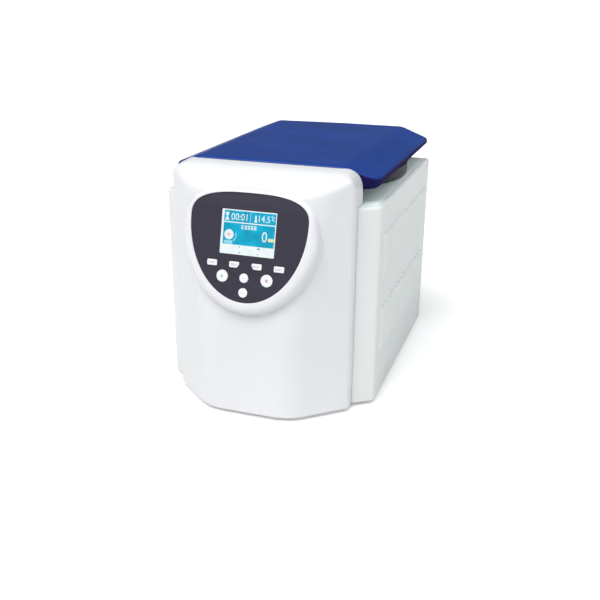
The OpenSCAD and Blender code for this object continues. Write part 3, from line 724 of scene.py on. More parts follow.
LID_HALF = 190.0
LID_TOP = 430.0
LID_FRONT = -12.0
LID_BACK = 475.0
LID_LOW = 388.0
CREASE_X = 132.0
WING_SLOPE = 22.5 / 58.0
FALL = math.tan(math.radians(0.65))
LEFT_SPREAD = 20.0
LEFT_DROP = 2.5
EDGE_ROLL = 8.0                 # radius of the rolled edge, and how far the wall tucks under
ROLL = np.radians(np.linspace(0, 90, 8))
SPINE_Y = (150.0, 320.0)        # the top's rings close up on this line


def fillet(a, b, c, r, n):
    """The arc of radius r that rounds the corner at b."""
    a, b, c = (np.asarray(v, dtype=float) for v in (a, b, c))
    u, v = unit(a - b), unit(c - b)
    half = math.acos(float(np.clip(u @ v, -1, 1))) / 2
    m = b + unit(u + v) * r / math.sin(half)
    s, e = b + u * r / math.tan(half), b + v * r / math.tan(half)
    a0 = math.degrees(math.atan2(s[1] - m[1], s[0] - m[0]))
    turn = math.degrees(math.atan2(e[1] - m[1], e[0] - m[0])) - a0
    turn = (turn + 180) % 360 - 180
    return arc(m[0], m[1], r, a0, a0 + turn, n)


def rounded(points, n):
    """Closed outline of (x, y, radius) corners."""
    k = len(points)
    out = []
    for i in range(k):
        a, b, c = points[i - 1], points[i], points[(i + 1) % k]
        out.append(fillet(a[:2], b[:2], c[:2], b[2], n) if b[2] > 0 else np.array([b[:2]], dtype=float))
    return np.vstack(out)


def densify(p, step):
    """The same closed outline with its long edges divided."""
    out = []
    for a, b in zip(p, np.roll(p, -1, axis=0)):
        k = max(1, int(np.ceil(np.linalg.norm(b - a) / step)))
        out += [a + (b - a) * j / k for j in range(k)]
    return np.array(out)


def inset(p, t):
    """A closed counter-clockwise outline moved inwards by t."""
    e = unit(np.roll(p, -1, axis=0) - p)
    n2 = np.stack([-e[:, 1], e[:, 0]], -1)
    n1 = np.roll(n2, 1, axis=0)
    return p + t * (n1 + n2) / (1 + np.sum(n1 * n2, axis=1, keepdims=True))


def lid_height(x, y):
    """Top face: nearly level, with a fold down each side. The left fold spreads towards the back."""
    back = np.clip((y - LID_FRONT) / (LID_BACK - LID_FRONT), 0, 1)
    left = np.clip(-x / LID_HALF, 0, 1)
    fold = smax(0.0, (np.abs(x) - CREASE_X - LEFT_SPREAD * back * (x < 0)) * WING_SLOPE, 2.4)
    return LID_TOP - fold - (y - LID_FRONT) * FALL - LEFT_DROP * back * left


def lid_outline():
    right = [(CREASE_X, LID_FRONT, 30), (LID_HALF, 17.5, 28), (LID_HALF, LID_BACK, 13)]
    left = [(-x, y, r) for x, y, r in reversed(right)]
    return densify(rounded(left[-1:] + right + left[:-1], 12), 3.0)


def make_lid(material):
    outline = lid_outline()
    n = len(outline)
    deep = inset(outline, EDGE_ROLL)
    edge = lid_height(deep[:, 0], deep[:, 1]) - EDGE_ROLL
    foot = LID_LOW + 1.0
    rings = [np.column_stack([inset(outline, EDGE_ROLL + t), np.full(n, LID_LOW + z)])
             for t, z in ((1.0, 0.0), (0.3, 0.3))]
    for a in ROLL[:-1]:
        z = foot + (1 - math.cos(a)) * (edge - foot)
        rings.append(np.column_stack([inset(outline, EDGE_ROLL * (1 - math.sin(a))), z]))
    for a in ROLL:
        ring = inset(outline, EDGE_ROLL * (1 - math.cos(a)))
        z = edge + EDGE_ROLL * math.sin(a) if a < ROLL[-1] else lid_height(ring[:, 0], ring[:, 1])
        rings.append(np.column_stack([ring, z]))
    spine = np.column_stack([np.zeros(n), np.clip(deep[:, 1], *SPINE_Y)])
    for f in np.linspace(0, 1, 84)[1:]:
        ring = deep + (spine - deep) * f
        rings.append(np.column_stack([ring, lid_height(ring[:, 0], ring[:, 1])]))
    verts = np.stack(rings, 1).reshape(-1, 3)
    mesh = mesh_from("lid_shell", verts, grid_faces(n, len(rings), close_u=True), weld=0.02)
    with editing(mesh) as bm:
        highest = max(bm.faces, key=lambda f: f.calc_center_median().z)
        if highest.normal.z < 0:
            bmesh.ops.reverse_faces(bm, faces=bm.faces)
    ob = link("lid_shell", mesh, material, "lid", ("lid_cover",), smooth=50)
    thicken(ob, 2.8)


DRUM_R = 187.0


def make_drum(material):
    """Round rubber-edged liner under the lid, with fine ribs on its outer band."""
    r = DRUM_R
    outer = [(r - 4.5, 2.1), (r - 1.6, 2.9), (r - 0.2, 5.0), (r, 7.0)]
    for i in range(3):
        z = 9.0 + i * 4.4
        outer += [(r, z), (r - 0.9, z + 0.6), (r - 0.9, z + 1.4), (r, z + 2.0)]
    outer += [(r, 22.4), (r - 0.8, 23.2), (173, 23.3), (172.4, 24.0), (172, 29.6), (169, 29.9), (169, 20.0),
              (r - 6, 18.0), (r - 6, 7.4)]
    inner = [(142.5, 5.2), (140, 6.6), (138, 11.0), (90, 11.2), (0.2, 11.2), (0.2, 8.0)]
    under = [(90, 8.0), (134, 8.0), (137.5, 6.8), (139.5, 4.2), (141.5, 2.6), (145, 2.0), (160, 2.0)]
    verts, faces = revolve(outer + inner + under, (0, CHAMBER_Y, BODY_H), 220)
    mesh = mesh_from("lid_drum", verts, faces, weld=0.02)
    link("lid_drum", mesh, material, "lid", ("lid_liner",), smooth=32)


# ---------------------------------------------------------------- sheet metal

LOUVRE_Y = [26.0 + 27.3 * i for i in range(14)]
LOUVRE_Z = ((85.0, 172.0), (222.0, 309.0))
LOUVRE_W = 18.0
LOUVRE_OUT = 5.0
HOOD_LAP = 1.2                  # how far a hood laps its opening above and below
HOLE_BACK = 2.0
FLANGE = (165.6, -24.0)
EDGE_R = 5.0
WALL_CORNER_Y = 0.5
WALL_CORNER_R = 10.0


def wall_line(t):
    """Plan of the right wall from back to front and its swept-back flange, t inside the outer face."""
    turn = math.atan2(HALF_W - FLANGE[0], WALL_CORNER_Y - FLANGE[1])
    slope = (WALL_CORNER_Y - FLANGE[1]) / (HALF_W - FLANGE[0])
    cx, cy = HALF_W - t, WALL_CORNER_Y + t * math.tan(turn / 2)
    end = (FLANGE[0], cy - slope * (cx - FLANGE[0]))
    bend = fillet((cx, BODY_D), (cx, cy), end, WALL_CORNER_R - t, 12)
    ys = {BODY_D, 441.0, 425.0, 20.0, 12.0}
    for y in LOUVRE_Y:
        ys |= {y, y + 2.0, y + 10.0, y + LOUVRE_W, y + 22.3}
    straight = [(cx, y) for y in sorted(ys, reverse=True)]
    flange = [bend[-1] + (np.array(end) - bend[-1]) * k / 6 for k in range(1, 7)]
    return np.vstack([straight, bend, flange])


def louvre_hood(y0, z0, z1):
    """A pressed hood with rounded ends that opens towards the back."""
    nv, nz = 12, 34
    v = np.linspace(0, 1, nv)
    z = z0 + (z1 - z0) * (1 - np.cos(np.linspace(0, np.pi, nz))) / 2
    end = np.minimum(z - z0, z1 - z) / 9.0
    lift_z = np.sqrt(np.maximum(0, 1 - (1 - np.clip(end, 0, 1)) ** 2))
    lift_v = np.sin(np.clip(v / 0.8, 0, 1) * np.pi / 2) ** 1.3
    verts = [(HALF_W + 0.02 + LOUVRE_OUT * a * b, y0 + LOUVRE_W * c, h)
             for a, c in zip(lift_v, v) for b, h in zip(lift_z, z)]
    return np.array(verts), nv, nz


def make_side(name, sign, replaced, material):
    """A side wall with its rounded top edge, front flange and two fields of louvres."""
    zs = {0.0, 1.0, 30.0, 195.0, 335.0, BODY_H - EDGE_R}
    for a, b in LOUVRE_Z:
        zs |= {a + HOOD_LAP, (a + b) / 2, b - HOOD_LAP}
    zs = sorted(zs)
    lines = [(0.0, z) for z in zs]
    lines += [(EDGE_R * (1 - math.cos(a)), BODY_H - EDGE_R + EDGE_R * math.sin(a))
              for a in np.radians(np.linspace(11, 90, 8))]
    lines.append((9.0, BODY_H))
    rows = [np.column_stack([wall_line(t), np.full(len(wall_line(t)), z)]) for t, z in lines]
    verts = np.stack(rows, 1).reshape(-1, 3)
    x, y = rows[0][:, 0], rows[0][:, 1]
    flat = np.abs(x - HALF_W) <= 0.01

    def in_hole(i, j):
        if not (flat[i] and flat[i + 1]) or j + 1 >= len(zs):
            return False
        ym, zm = (y[i] + y[i + 1]) / 2, (zs[j] + zs[j + 1]) / 2
        return (any(a + HOLE_BACK < ym < a + LOUVRE_W for a in LOUVRE_Y)
                and any(a + HOOD_LAP < zm < b - HOOD_LAP for a, b in LOUVRE_Z))

    faces = grid_faces(len(x), len(rows), skip=in_hole)
    parts = [verts]
    count = len(verts)
    for y0 in LOUVRE_Y:
        for z0, z1 in LOUVRE_Z:
            v, a, b = louvre_hood(y0, z0, z1)
            parts.append(v)
            faces += [tuple(reversed(f)) for f in grid_faces(a, b, start=count)]
            count += len(v)
    verts = np.vstack(parts)
    verts[:, 0] *= sign
    if sign < 0:
        faces = [tuple(reversed(f)) for f in faces]
    mesh = mesh_from(name, verts, faces)
    with editing(mesh) as bm:
        drop_loose(bm)
        wall = max(bm.faces, key=lambda f: f.calc_area())
        if wall.normal.x * sign < 0:
            bmesh.ops.reverse_faces(bm, faces=bm.faces)
    ob = link(name, mesh, material, "housing", (replaced,), smooth=35)
    thicken(ob, 1.2)


def make_deck(material):
    """The housing's top: a sheet that laps under the side walls' flanges."""
    side_x = FASCIA_HALF + 0.5
    line = wall_line(8.0)[::-1]
    keep = [p for p in line if p[0] > side_x + 0.5 and 1.0 < BODY_D - p[1]]
    a = [p for p in line if p[0] <= side_x + 0.5][-1]
    b = keep[0]
    keep.insert(0, a + (b - a) * (side_x - a[0]) / (b[0] - a[0]))
    keep[-1] = np.array((keep[-1][0], BODY_D - 1.8))
    # front edge, from the middle: along the moulding's rear line, then forwards along its side
    half = [np.array(p) for p in ((132.0, -13.6), (side_x, rear_y(side_x) + 0.9))] + keep
    outline = np.array(half + [np.array((-p[0], p[1])) for p in reversed(half)])
    mouth = circle(0.0, CHAMBER_Y, 150.0, 240)
    slot_hole = rounded_rect(12.0, 31.0, 2.0) + (0.0, 26.5)
    mesh = plate("deck", outline, [mouth, slot_hole], BODY_H - 1.75, BODY_H - 0.25, 0.3, lambda c: c)
    link("deck", mesh, material, "housing", ("top_deck",), smooth=40)


def circle(cx, cy, r, n=96):
    return arc(cx, cy, r, 0, 360, n + 1)[:-1]


# ---------------------------------------------------------------- control panel

DISPLAY = (96.6, 74.0)
KEY_ROW = -54.0
F_X = (-60.0, -20.0, 20.0, 59.5)
ROUND_KEYS = {"key_start": (-40.0, -75.0, 10.2), "key_stop": (39.5, -75.0, 10.4),
              "key_up": (-0.9, -75.0, 7.8), "key_down": (-0.7, -99.5, 7.9)}
KEY_TOP = 1.4
F_W, F_H = 8.9, 5.0             # half the size of a function key


def f_outline(i):
    """Function key i of 0 to 3: the two in the middle have a slanted lower corner."""
    if i in (0, 3):
        return rounded([(-F_W, -F_H, 2), (F_W, -F_H, 2), (F_W, F_H, 2), (-F_W, F_H, 2)], 6)
    p = rounded([(-F_W, -F_H, 2.4), (5.2, -F_H, 3.4), (F_W, 1, 2.5), (F_W, F_H, 1.8), (-F_W, F_H, 1.8)], 6)
    return p if i == 1 else np.array([(-x, y) for x, y in p[::-1]])


def make_bezel(material):
    gap = 0.4
    holes = [rounded_rect(DISPLAY[0] + gap, DISPLAY[1] + gap, 1.4)]
    holes += [inset(f_outline(i), -gap) + (F_X[i], KEY_ROW) for i in range(4)]
    holes += [circle(x, s, r + gap) for x, s, r in ROUND_KEYS.values()]
    outline = inset(shield(600), 0.15)
    mesh = plate("control_panel", outline, holes, -2.5, 0.0, 0.3, from_panel)
    link("control_panel", mesh, material, "housing", ("control_bezel",), smooth=40)


def key_cap(name, outline, centre, body, material):
    """A moulded key: a rounded, very slightly crowned cap on a straight skirt."""
    base = densify(outline, 1.2)
    round_r, crown = 0.75, 0.15
    shelf = KEY_TOP - round_r - crown
    rings = [(0.0, -4.0), (0.0, -1.0), (0.0, shelf)]
    rings += [(round_r * (1 - math.cos(a)), shelf + round_r * math.sin(a)) for a in np.radians((22, 45, 68, 90))]
    rows = [np.column_stack([inset(base, t) if t else base, np.full(len(base), n)]) for t, n in rings]
    edge = rows[-1][:, :2]
    for f in np.linspace(0, 1, 9)[1:]:
        n = KEY_TOP - crown + crown * math.sin(f * math.pi / 2)
        rows.append(np.column_stack([edge * (1 - f), np.full(len(edge), n)]))
    verts = np.stack(rows, 1).reshape(-1, 3) + (centre[0], centre[1], 0)
    mesh = mesh_from(name, from_panel(verts), grid_faces(len(base), len(rows), close_u=True), weld=0.01)
    link(name + "_cap", mesh, material, body, (name,), smooth=45)


def merge(name, shapes, n0, n1, material, body):
    """Several flat outlines as one thin piece; a list is an outline and its holes."""
    mesh = bpy.data.meshes.new(name)
    with editing(mesh) as bm:
        for shape in shapes:
            outline, *holes = shape if isinstance(shape, list) else [shape]
            part = plate(name + "_part", outline, holes, n0, n1, 0.02, from_panel)
            bm.from_mesh(part)
            bpy.data.meshes.remove(part)
    link(name, mesh, material, body, (), smooth=40)


# ---------------------------------------------------------------- screen picture

SCREEN_N = -2.2
CAPITAL = 0.73      # height of the figures over the font size


def on_screen(u, v):
    """Screen position (share of width from the left, share of height from the top) to (x, s)."""
    return (-DISPLAY[0] / 2 + u * DISPLAY[0], DISPLAY[1] / 2 - v * DISPLAY[1])


def block(u0, v0, u1, v1, r):
    (x0, s0), (x1, s1) = on_screen(u0, v0), on_screen(u1, v1)
    return rounded_rect(x1 - x0, s0 - s1, r, 4) + ((x0 + x1) / 2, (s0 + s1) / 2)


def digits(name, text, u, v, height, squeeze, material):
    """Numbers shown on the screen, centred at (u, v)."""
    font = bpy.data.curves.new(name, "FONT")
    font.body = text
    font.align_x, font.align_y = "CENTER", "CENTER"
    font.size = height / CAPITAL
    font.extrude = 0.03
    font.resolution_u = 6
    mesh, co = mesh_of_curve(name, font)
    co[:, 1] -= (co[:, 1].max() + co[:, 1].min()) / 2
    co[:, 0] = (co[:, 0] - (co[:, 0].max() + co[:, 0].min()) / 2) * squeeze
    co += (*on_screen(u, v), SCREEN_N + 0.17)
    set_points(mesh, name, from_panel(co))
    link(name, mesh, material, "housing", (), smooth=None)


def make_screen(mats):
    """The lit picture, as thin plates: a blue field with frames, figures and marks over it."""
    def thin(name, outline, low, high, ink):
        """One plate, from low to high over the glass."""
        mesh = plate(name, outline, [], SCREEN_N + low, SCREEN_N + high, (high - low) / 4, from_panel)
        link(name, mesh, mats[ink], "housing", (), smooth=40)

    def show(name, shapes, low, high, ink):
        merge(name, shapes, SCREEN_N + low, SCREEN_N + high, mats[ink], "housing")

    white = "screen_white"
    thin("screen_field", rounded_rect(96.4, 73.8, 0.6), 0.02, 0.12, "screen_blue")
    show("screen_frame", [[block(0.0, 0.0, 1.0, 1.0, 0.6), block(0.036, 0.026, 0.984, 0.275, 0.3)[::-1],
                           block(0.036, 0.298, 0.978, 0.785, 0.3)[::-1]]], 0.13, 0.2, white)
    # hourglass, thermometer with its scale, a line of blocks for text, and the degree sign
    lower = [(3.6, -6.6), (3.6, -5.2), (2.6, -5.2), (2.3, -2.6), (0.7, 0)]
    right = lower + [(x, -y) for x, y in lower[-2::-1]]
    glass = np.array([(-3.6, -6.6)] + right + [(-x, y) for x, y in right[:0:-1]]) + on_screen(0.092, 0.16)
    stem = np.vstack([arc(0, 4.6, 1.15, 0, 180, 9), arc(0, -4.2, 2.3, 130, 410, 24)]) + on_screen(0.618, 0.165)
    marks = [block(0.515, v, 0.522, v + 0.03, 0.1) for v in np.arange(0.05, 0.26, 0.045)]
    label = []
    for i, w in enumerate((0.04, 0.05, 0.045, 0.05, 0.048)):
        u, shift = 0.365 + i * 0.058, 0.15 * (i % 3)
        label += [block(u, v0, u + w, v1, 0.1) for v0, v1 in ((0.335, 0.352), (0.372, 0.388), (0.405, 0.42))]
        label.append(block(u + w * (0.2 + shift), 0.352, u + w * (0.42 + shift), 0.405, 0.1))
    x, s = on_screen(0.935, 0.135)
    degree = [circle(x - 2.4, s + 3.4, 1.25, 20), circle(x - 2.4, s + 3.4, 0.6, 20)[::-1]]
    hook = np.vstack([arc(x + 0.9, s - 0.4, 3.1, 50, 310, 20), arc(x + 0.9, s - 0.4, 2.1, 310, 50, 20)])
    show("screen_icons", [glass, stem, hook, degree] + marks + label, 0.13, 0.2, white)
    digits("screen_time", "00:01", 0.315, 0.158, 11.6, 0.90, mats[white])
    digits("screen_degrees", "14.5", 0.775, 0.158, 11.2, 0.88, mats[white])
    digits("screen_speed", "0", 0.798, 0.55, 17.6, 0.84, mats[white])
    x, s = on_screen(0.145, 0.565)
    show("screen_disc", [[circle(x, s, 8.4, 48), circle(x, s, 2.9, 32)[::-1]]], 0.13, 0.2, white)
    thin("screen_disc_core", circle(x, s, 2.85, 32), 0.13, 0.19, "screen_pink")
    x, s = x + 1.5, s - 1.2
    show("screen_trail", [np.vstack([arc(x, s, 12.2, -52, 22, 14), arc(x, s, 10.2, 22, -52, 14)]),
                          block(0.06, 0.70, 0.22, 0.775, 1.2)], 0.13, 0.18, "screen_pale")
    thin("screen_unit", block(0.868, 0.575, 0.974, 0.645, 0.6), 0.13, 0.19, "screen_yellow")
    dots = [block(u, v, u + 0.022, v + 0.02, 0.2)
            for u, v in ((0.345, 0.815), (0.355, 0.945), (0.68, 0.82), (0.685, 0.945))]
    show("screen_dots", dots + [block(0.70, 0.815, 0.73, 0.845, 0.3)], 0.21, 0.26, "screen_ink")
    faint = []
    for u0 in (0.07, 0.42, 0.76):
        for u in (u0 + 0.036 * i for i in range(5)):
            faint += [block(u, 0.855, u + 0.026, 0.868, 0.1), block(u, 0.885, u + 0.022, 0.897, 0.1)]
    show("screen_rows", faint, 0.21, 0.25, "screen_rose")


def make_keys(mats):
    """Key caps with their marks: short bars on the function keys, plain symbols on the round ones."""
    for i, centre in enumerate(F_X):
        name = f"key_f{i + 1}"
        key_cap(name, f_outline(i), (centre, KEY_ROW), name + "_body", mats["key"])
        bars = []
        for j in range(5):
            x = centre - 5.2 + 2.3 * j
            bars += [rounded_rect(1.5, 0.5, 0.2, 4) + (x, KEY_ROW + 1.3),
                     rounded_rect(1.5, 0.5, 0.2, 4) + (x, KEY_ROW - 1.3),
                     rounded_rect(0.5, 2.2, 0.2, 4) + (x + (-0.5, 0.0, 0.5)[(i + j) % 3], KEY_ROW)]
        merge(name + "_mark", bars, KEY_TOP - 0.08, KEY_TOP + 0.05, mats["ink_grey"], name + "_body")
    chevron = np.array([(-2.6, -1.0), (-2.1, -1.5), (0, 0.6), (2.1, -1.5), (2.6, -1.0), (0, 1.7)])
    marks = {
        "key_start": (np.array([(-2.4, -3.0), (3.3, 0.0), (-2.4, 3.0)]), "ink_green"),
        "key_stop": (rounded_rect(5.0, 5.0, 0.5, 4), "ink_red"),
        "key_up": (chevron, "ink_pale"),
        "key_down": (-chevron, "ink_pale"),
    }
    for name, (x, s, r) in ROUND_KEYS.items():
        key_cap(name, circle(0, 0, r, 80), (x, s), name + "_body", mats["key"])
        shape, ink = marks[name]
        merge(name + "_mark", [shape + (x, s)], KEY_TOP - 0.06, KEY_TOP + 0.06, mats[ink], name + "_body")


# ---------------------------------------------------------------- carried-over CAD nodes

def dress(name, material, bevel):
    """Gives a CAD node its material and small rounded edges."""
    ob = frame["nodes"][name]
    ob.data.materials.clear()
    ob.data.materials.append(material)
    ob.data.polygons.foreach_set("material_index", [0] * len(ob.data.polygons))
    if bevel:
        mod = ob.modifiers.new("edges", "BEVEL")
        mod.width = bevel * MM
        mod.segments = 2
        mod.limit_method = "ANGLE"
        mod.angle_limit = math.radians(40)
    ob.data.shade_smooth()
    ob.data.set_sharp_from_angle(angle=math.radians(35))


def glow(name, colour, vary=0.06):
    """A lit screen area: emission with a slow drift of brightness."""
    m, nt, bsdf = new_material(name)
    coord = node(nt, "ShaderNodeTexCoord")
    lit = drifting(nt, noise(nt, coord.outputs["Object"], 60.0, 2.0, 0.5), colour, vary)
    nt.links.new(lit, bsdf.inputs["Emission Color"])
    bsdf.inputs["Base Color"].default_value = (0.01, 0.01, 0.01, 1)
    bsdf.inputs["Emission Strength"].default_value = 1.0
    bsdf.inputs["Roughness"].default_value = 0.6
    bsdf.inputs["Specular IOR Level"].default_value = 0.05
    return m


def clear_sheet(name):
    """Thin clear plastic with faint smears."""
    m, nt, bsdf = new_material(name)
    coord = node(nt, "ShaderNodeTexCoord")
    smear = noise(nt, coord.outputs["Object"], 40.0, 4.0, 0.6)
    nt.links.new(span(nt, smear, 0.02, 0.09), bsdf.inputs["Roughness"])
    bsdf.inputs["Base Color"].default_value = (0.95, 0.97, 0.98, 1)
    bsdf.inputs["Transmission Weight"].default_value = 1.0
    bsdf.inputs["IOR"].default_value = 1.15
    return m


MATS = {
    "moulding": surface("white_moulding", (0.665, 0.67, 0.695), 0.32, vary=0.010, bump=0.05,
                      bump_scale=2600.0,
                        rough_vary=0.05, coat=0.15, coat_rough=0.18),
    "paint": surface("white_paint", (0.68, 0.705, 0.70), 0.42, vary=0.012, bump=0.10, bump_scale=1900.0,
                      rough_vary=0.06),
    # the deck's paint is made much lighter than the walls' paint: painted light that makes up for the shade
    # under the lid
    "deck": surface("deck_paint_painted_light", (0.84, 0.94, 0.93), 0.45, vary=0.015, bump=0.10, bump_scale=1900.0,
                      rough_vary=0.06),
    "charcoal": surface("charcoal_panel", (0.028, 0.025, 0.041), 0.40, vary=0.06, vary_scale=25.0,
                      bump=0.16,
                        bump_scale=2400.0, specular=0.3),
    "drum": surface("charcoal_drum", (0.034, 0.034, 0.044), 0.45, specular=0.35, vary=0.08, bump=0.1,
                      bump_scale=1500.0),
    # the lid's walls and underside get a painted shade: the dark navy under colour, blended in by the face's
    # normal
    "blue": surface("blue_lid_painted_shade", (0.005, 0.039, 0.225), 0.34, vary=0.14, vary_scale=11.0, bump=0.10,
                      bump_scale=1500.0,
                    rough_vary=0.05, specular=0.22, under=(0.006, 0.003, 0.060)),
    "key": surface("key_plastic", (0.70, 0.71, 0.74), 0.42, vary=0.02, vary_scale=60.0, bump=0.05,
                      bump_scale=3000.0),
    "ink_grey": surface("ink_grey", (0.20, 0.20, 0.22), 0.6, vary=0.1, vary_scale=300.0),
    "ink_pale": surface("ink_pale", (0.42, 0.43, 0.46), 0.6, vary=0.1, vary_scale=300.0),
    "ink_green": surface("ink_green", (0.30, 0.44, 0.38), 0.6, vary=0.1, vary_scale=300.0),
    "ink_red": surface("ink_red", (0.52, 0.30, 0.33), 0.6, vary=0.1, vary_scale=300.0),
    "rubber": surface("black_rubber", (0.020, 0.020, 0.021), 0.75, vary=0.15, vary_scale=40.0, bump=0.25,
                      bump_scale=1800.0),
    "dark_paint": surface("dark_paint", (0.075, 0.078, 0.085), 0.5, vary=0.08, bump=0.15,
                      bump_scale=1700.0),
    "black_paint": surface("black_paint", (0.015, 0.015, 0.017), 0.35, vary=0.1, bump=0.08,
                      bump_scale=1300.0, coat=0.2),
    "foam": surface("insulation_foam", (0.62, 0.56, 0.40), 0.9, vary=0.12, vary_scale=70.0, bump=0.7,
                      bump_scale=420.0),
    "copper": surface("copper_tube", (0.78, 0.36, 0.20), 0.32, vary=0.10, vary_scale=30.0, metallic=1.0,
                      rough_vary=0.1),
    "stainless": surface("brushed_stainless", (0.62, 0.63, 0.65), 0.26, vary=0.05, metallic=1.0, bump=0.12,
                         bump_scale=500.0, stretch=(1, 1, 14), rough_vary=0.08),
    "alloy": surface("anodised_alloy", (0.52, 0.54, 0.57), 0.34, vary=0.04, metallic=1.0, bump=0.06,
                      bump_scale=2200.0,
                     rough_vary=0.06),
    "fins": surface("aluminium_fins", (0.68, 0.69, 0.71), 0.38, vary=0.08, metallic=1.0, bump=0.1),
    "plastic": surface("black_plastic", (0.022, 0.022, 0.024), 0.42, vary=0.10, vary_scale=50.0,
                      bump=0.15, bump_scale=2200.0),
    "fan": surface("fan_plastic", (0.60, 0.60, 0.62), 0.45, vary=0.05, bump=0.08),
    "rocker": surface("green_rocker", (0.03, 0.20, 0.055), 0.30, vary=0.06, vary_scale=90.0, coat=0.2),
    "case": surface("perforated_case", (0.55, 0.56, 0.58), 0.40, vary=0.06, metallic=0.9, bump=0.1),
    "zinc": surface("zinc_steel", (0.60, 0.61, 0.60), 0.40, vary=0.12, vary_scale=45.0, metallic=0.9,
                      bump=0.15,
                    bump_scale=300.0, rough_vary=0.12),
    "board": surface("circuit_board", (0.02, 0.14, 0.06), 0.4, vary=0.2, vary_scale=120.0, bump=0.2,
                      bump_scale=700.0),
    "coil": surface("solenoid_wrap", (0.05, 0.10, 0.30), 0.5, vary=0.1, vary_scale=80.0, bump=0.3,
                      bump_scale=900.0,
                    stretch=(8, 1, 1)),
    "window": clear_sheet("display_window"),
    "screen_blue": glow("screen_blue", (0.001, 0.40, 0.62), 0.18),
    "screen_white": glow("screen_white", (0.86, 0.96, 0.97)),
    "screen_pale": glow("screen_pale", (0.30, 0.72, 0.86)),
    "screen_pink": glow("screen_pink", (0.95, 0.62, 0.64)),
    "screen_rose": glow("screen_rose", (0.93, 0.80, 0.80)),
    "screen_yellow": glow("screen_yellow", (0.86, 0.86, 0.42)),
    "screen_ink": surface("screen_ink", (0.03, 0.08, 0.10), 0.5, vary=0.1, vary_scale=200.0),
}

NODE_FINISH = {
    "base_pan": ("zinc", 0.4), "feet": ("rubber", 1.0), "back_panel": ("paint", 0.35),
    "display_window": ("window", 0.2),
    "lcd_module": ("plastic", 0.3), "control_board": ("board", 0.2), "subframe": ("dark_paint", 0.5),
    "armour_ring": ("dark_paint", 0.6), "insulation_jacket": ("foam", 1.0),
    "evaporator_coil": ("copper", 0),
    "chamber_bowl": ("stainless", 0), "chamber_gasket": ("rubber", 0.3),
    "temperature_probe": ("stainless", 0.3),
    "motor_dampers": ("rubber", 0.8), "motor_body": ("dark_paint", 0.6),
    "imbalance_sensor": ("plastic", 0.4),
    "shaft_boot": ("rubber", 0), "drive_shaft": ("stainless", 0.4), "rotor": ("alloy", 0.5),
    "rotor_nut": ("black_paint", 0.5),
    "compressor": ("black_paint", 0.5), "compressor_grommets": ("rubber", 0.8), "condenser": ("fins", 0),
    "fan_shroud": ("plastic", 0.5), "fan_motor": ("black_paint", 0.6), "fan_blades": ("fan", 0.3),
    "filter_dryer": ("copper", 0.6), "suction_line": ("copper", 0), "discharge_line": ("copper", 0),
    "electronics_tray": ("zinc", 0.3), "inverter_drive": ("dark_paint", 0.5), "power_supply": ("case", 0.4),
    "power_inlet": ("plastic", 0.35), "switch_frame": ("plastic", 0.35), "power_rocker": ("rocker", 0.35),
    "latch_housing": ("zinc", 0.3), "latch_solenoid": ("coil", 0.4), "latch_bolt": ("stainless", 0.5),
    "hinge_brackets": ("dark_paint", 0.4), "hinge_pin": ("stainless", 0.3),
    "hinge_springs": ("stainless", 0),
    "lid_frame": ("zinc", 0.4), "hinge_arms": ("dark_paint", 0.5), "lid_striker": ("stainless", 0.3),
    "panel_screws": ("stainless", 0.4),
}


# ---------------------------------------------------------------- the scene

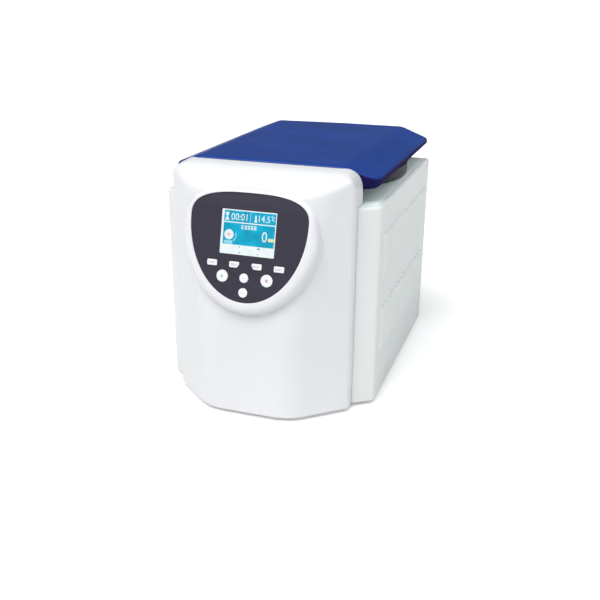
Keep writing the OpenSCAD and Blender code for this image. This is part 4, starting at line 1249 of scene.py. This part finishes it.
def make_floor():
    m, nt, bsdf = new_material("studio_floor")
    coord = node(nt, "ShaderNodeTexCoord")
    drift = node(nt, "ShaderNodeTexNoise", Scale=2.0, Detail=2.0)
    nt.links.new(coord.outputs["Object"], drift.inputs["Vector"])
    ramp = node(nt, "ShaderNodeValToRGB")
    ramp.color_ramp.elements[0].color = (0.73, 0.73, 0.73, 1)
    ramp.color_ramp.elements[1].color = (0.75, 0.75, 0.75, 1)
    nt.links.new(drift.outputs["Fac"], ramp.inputs[0])
    nt.links.new(ramp.outputs[0], bsdf.inputs["Base Color"])
    nt.links.new(ramp.outputs[0], bsdf.inputs["Emission Color"])
    # a light table: it looks brighter than the light it throws back on the object
    seen = node(nt, "ShaderNodeLightPath")
    lift = node(nt, "ShaderNodeMath", operation="MULTIPLY")
    nt.links.new(seen.outputs["Is Camera Ray"], lift.inputs[0])
    lift.inputs[1].default_value = 0.40
    nt.links.new(lift.outputs[0], bsdf.inputs["Emission Strength"])
    bsdf.inputs["Roughness"].default_value = 0.9
    bsdf.inputs["Specular IOR Level"].default_value = 0.1
    mesh = bpy.data.meshes.new("floor")
    a = np.linspace(0, 2 * np.pi, 65)[:-1]
    mesh.from_pydata([(250 * math.cos(t), 250 * math.sin(t), 0.0) for t in a], [], [tuple(range(64))])
    mesh.materials.append(m)
    ob = bpy.data.objects.new("floor", mesh)
    bpy.context.collection.objects.link(ob)


def make_world(front, back):
    """A pale studio, bright in front of the object and dimmer behind it."""
    w = bpy.data.worlds.new("studio")
    w.use_nodes = True
    nt = w.node_tree
    bg = nt.nodes["Background"]
    coord = node(nt, "ShaderNodeTexCoord")
    split = node(nt, "ShaderNodeSeparateXYZ")
    level = node(nt, "ShaderNodeMapRange", interpolation_type="SMOOTHSTEP")
    level.inputs["From Min"].default_value, level.inputs["From Max"].default_value = -0.1, 0.6
    level.inputs["To Min"].default_value, level.inputs["To Max"].default_value = front, back
    nt.links.new(coord.outputs["Generated"], split.inputs[0])
    nt.links.new(split.outputs["Y"], level.inputs[0])
    seen = node(nt, "ShaderNodeLightPath")
    show = node(nt, "ShaderNodeMix", data_type="FLOAT")
    nt.links.new(seen.outputs["Is Camera Ray"], show.inputs[0])
    nt.links.new(level.outputs[0], show.inputs[2])
    show.inputs[3].default_value = 1.0
    nt.links.new(show.outputs[0], bg.inputs[1])
    bg.inputs[0].default_value = (1, 1, 1, 1)
    bpy.context.scene.world = w


make_camera()
make_floor()
make_world(0.55, 0.15)
sun_light((-0.20, -0.50, 0.84), 2.75, 45.0, (1.0, 1.0, 0.99))
sun_light((0.66, 0.02, 0.75), 0.95, 60.0, (0.90, 0.96, 1.0))
bpy.context.scene.view_settings.view_transform = "Standard"

make_fascia(MATS["moulding"])
make_lid(MATS["blue"])
make_drum(MATS["drum"])
make_side("right_wall", 1, "right_side_panel", MATS["paint"])
make_side("left_wall", -1, "left_side_panel", MATS["paint"])
make_deck(MATS["deck"])
make_bezel(MATS["charcoal"])
make_keys(MATS)
make_screen(MATS)
for node_name, (mat, bevel) in NODE_FINISH.items():
    dress(node_name, MATS[mat], bevel)
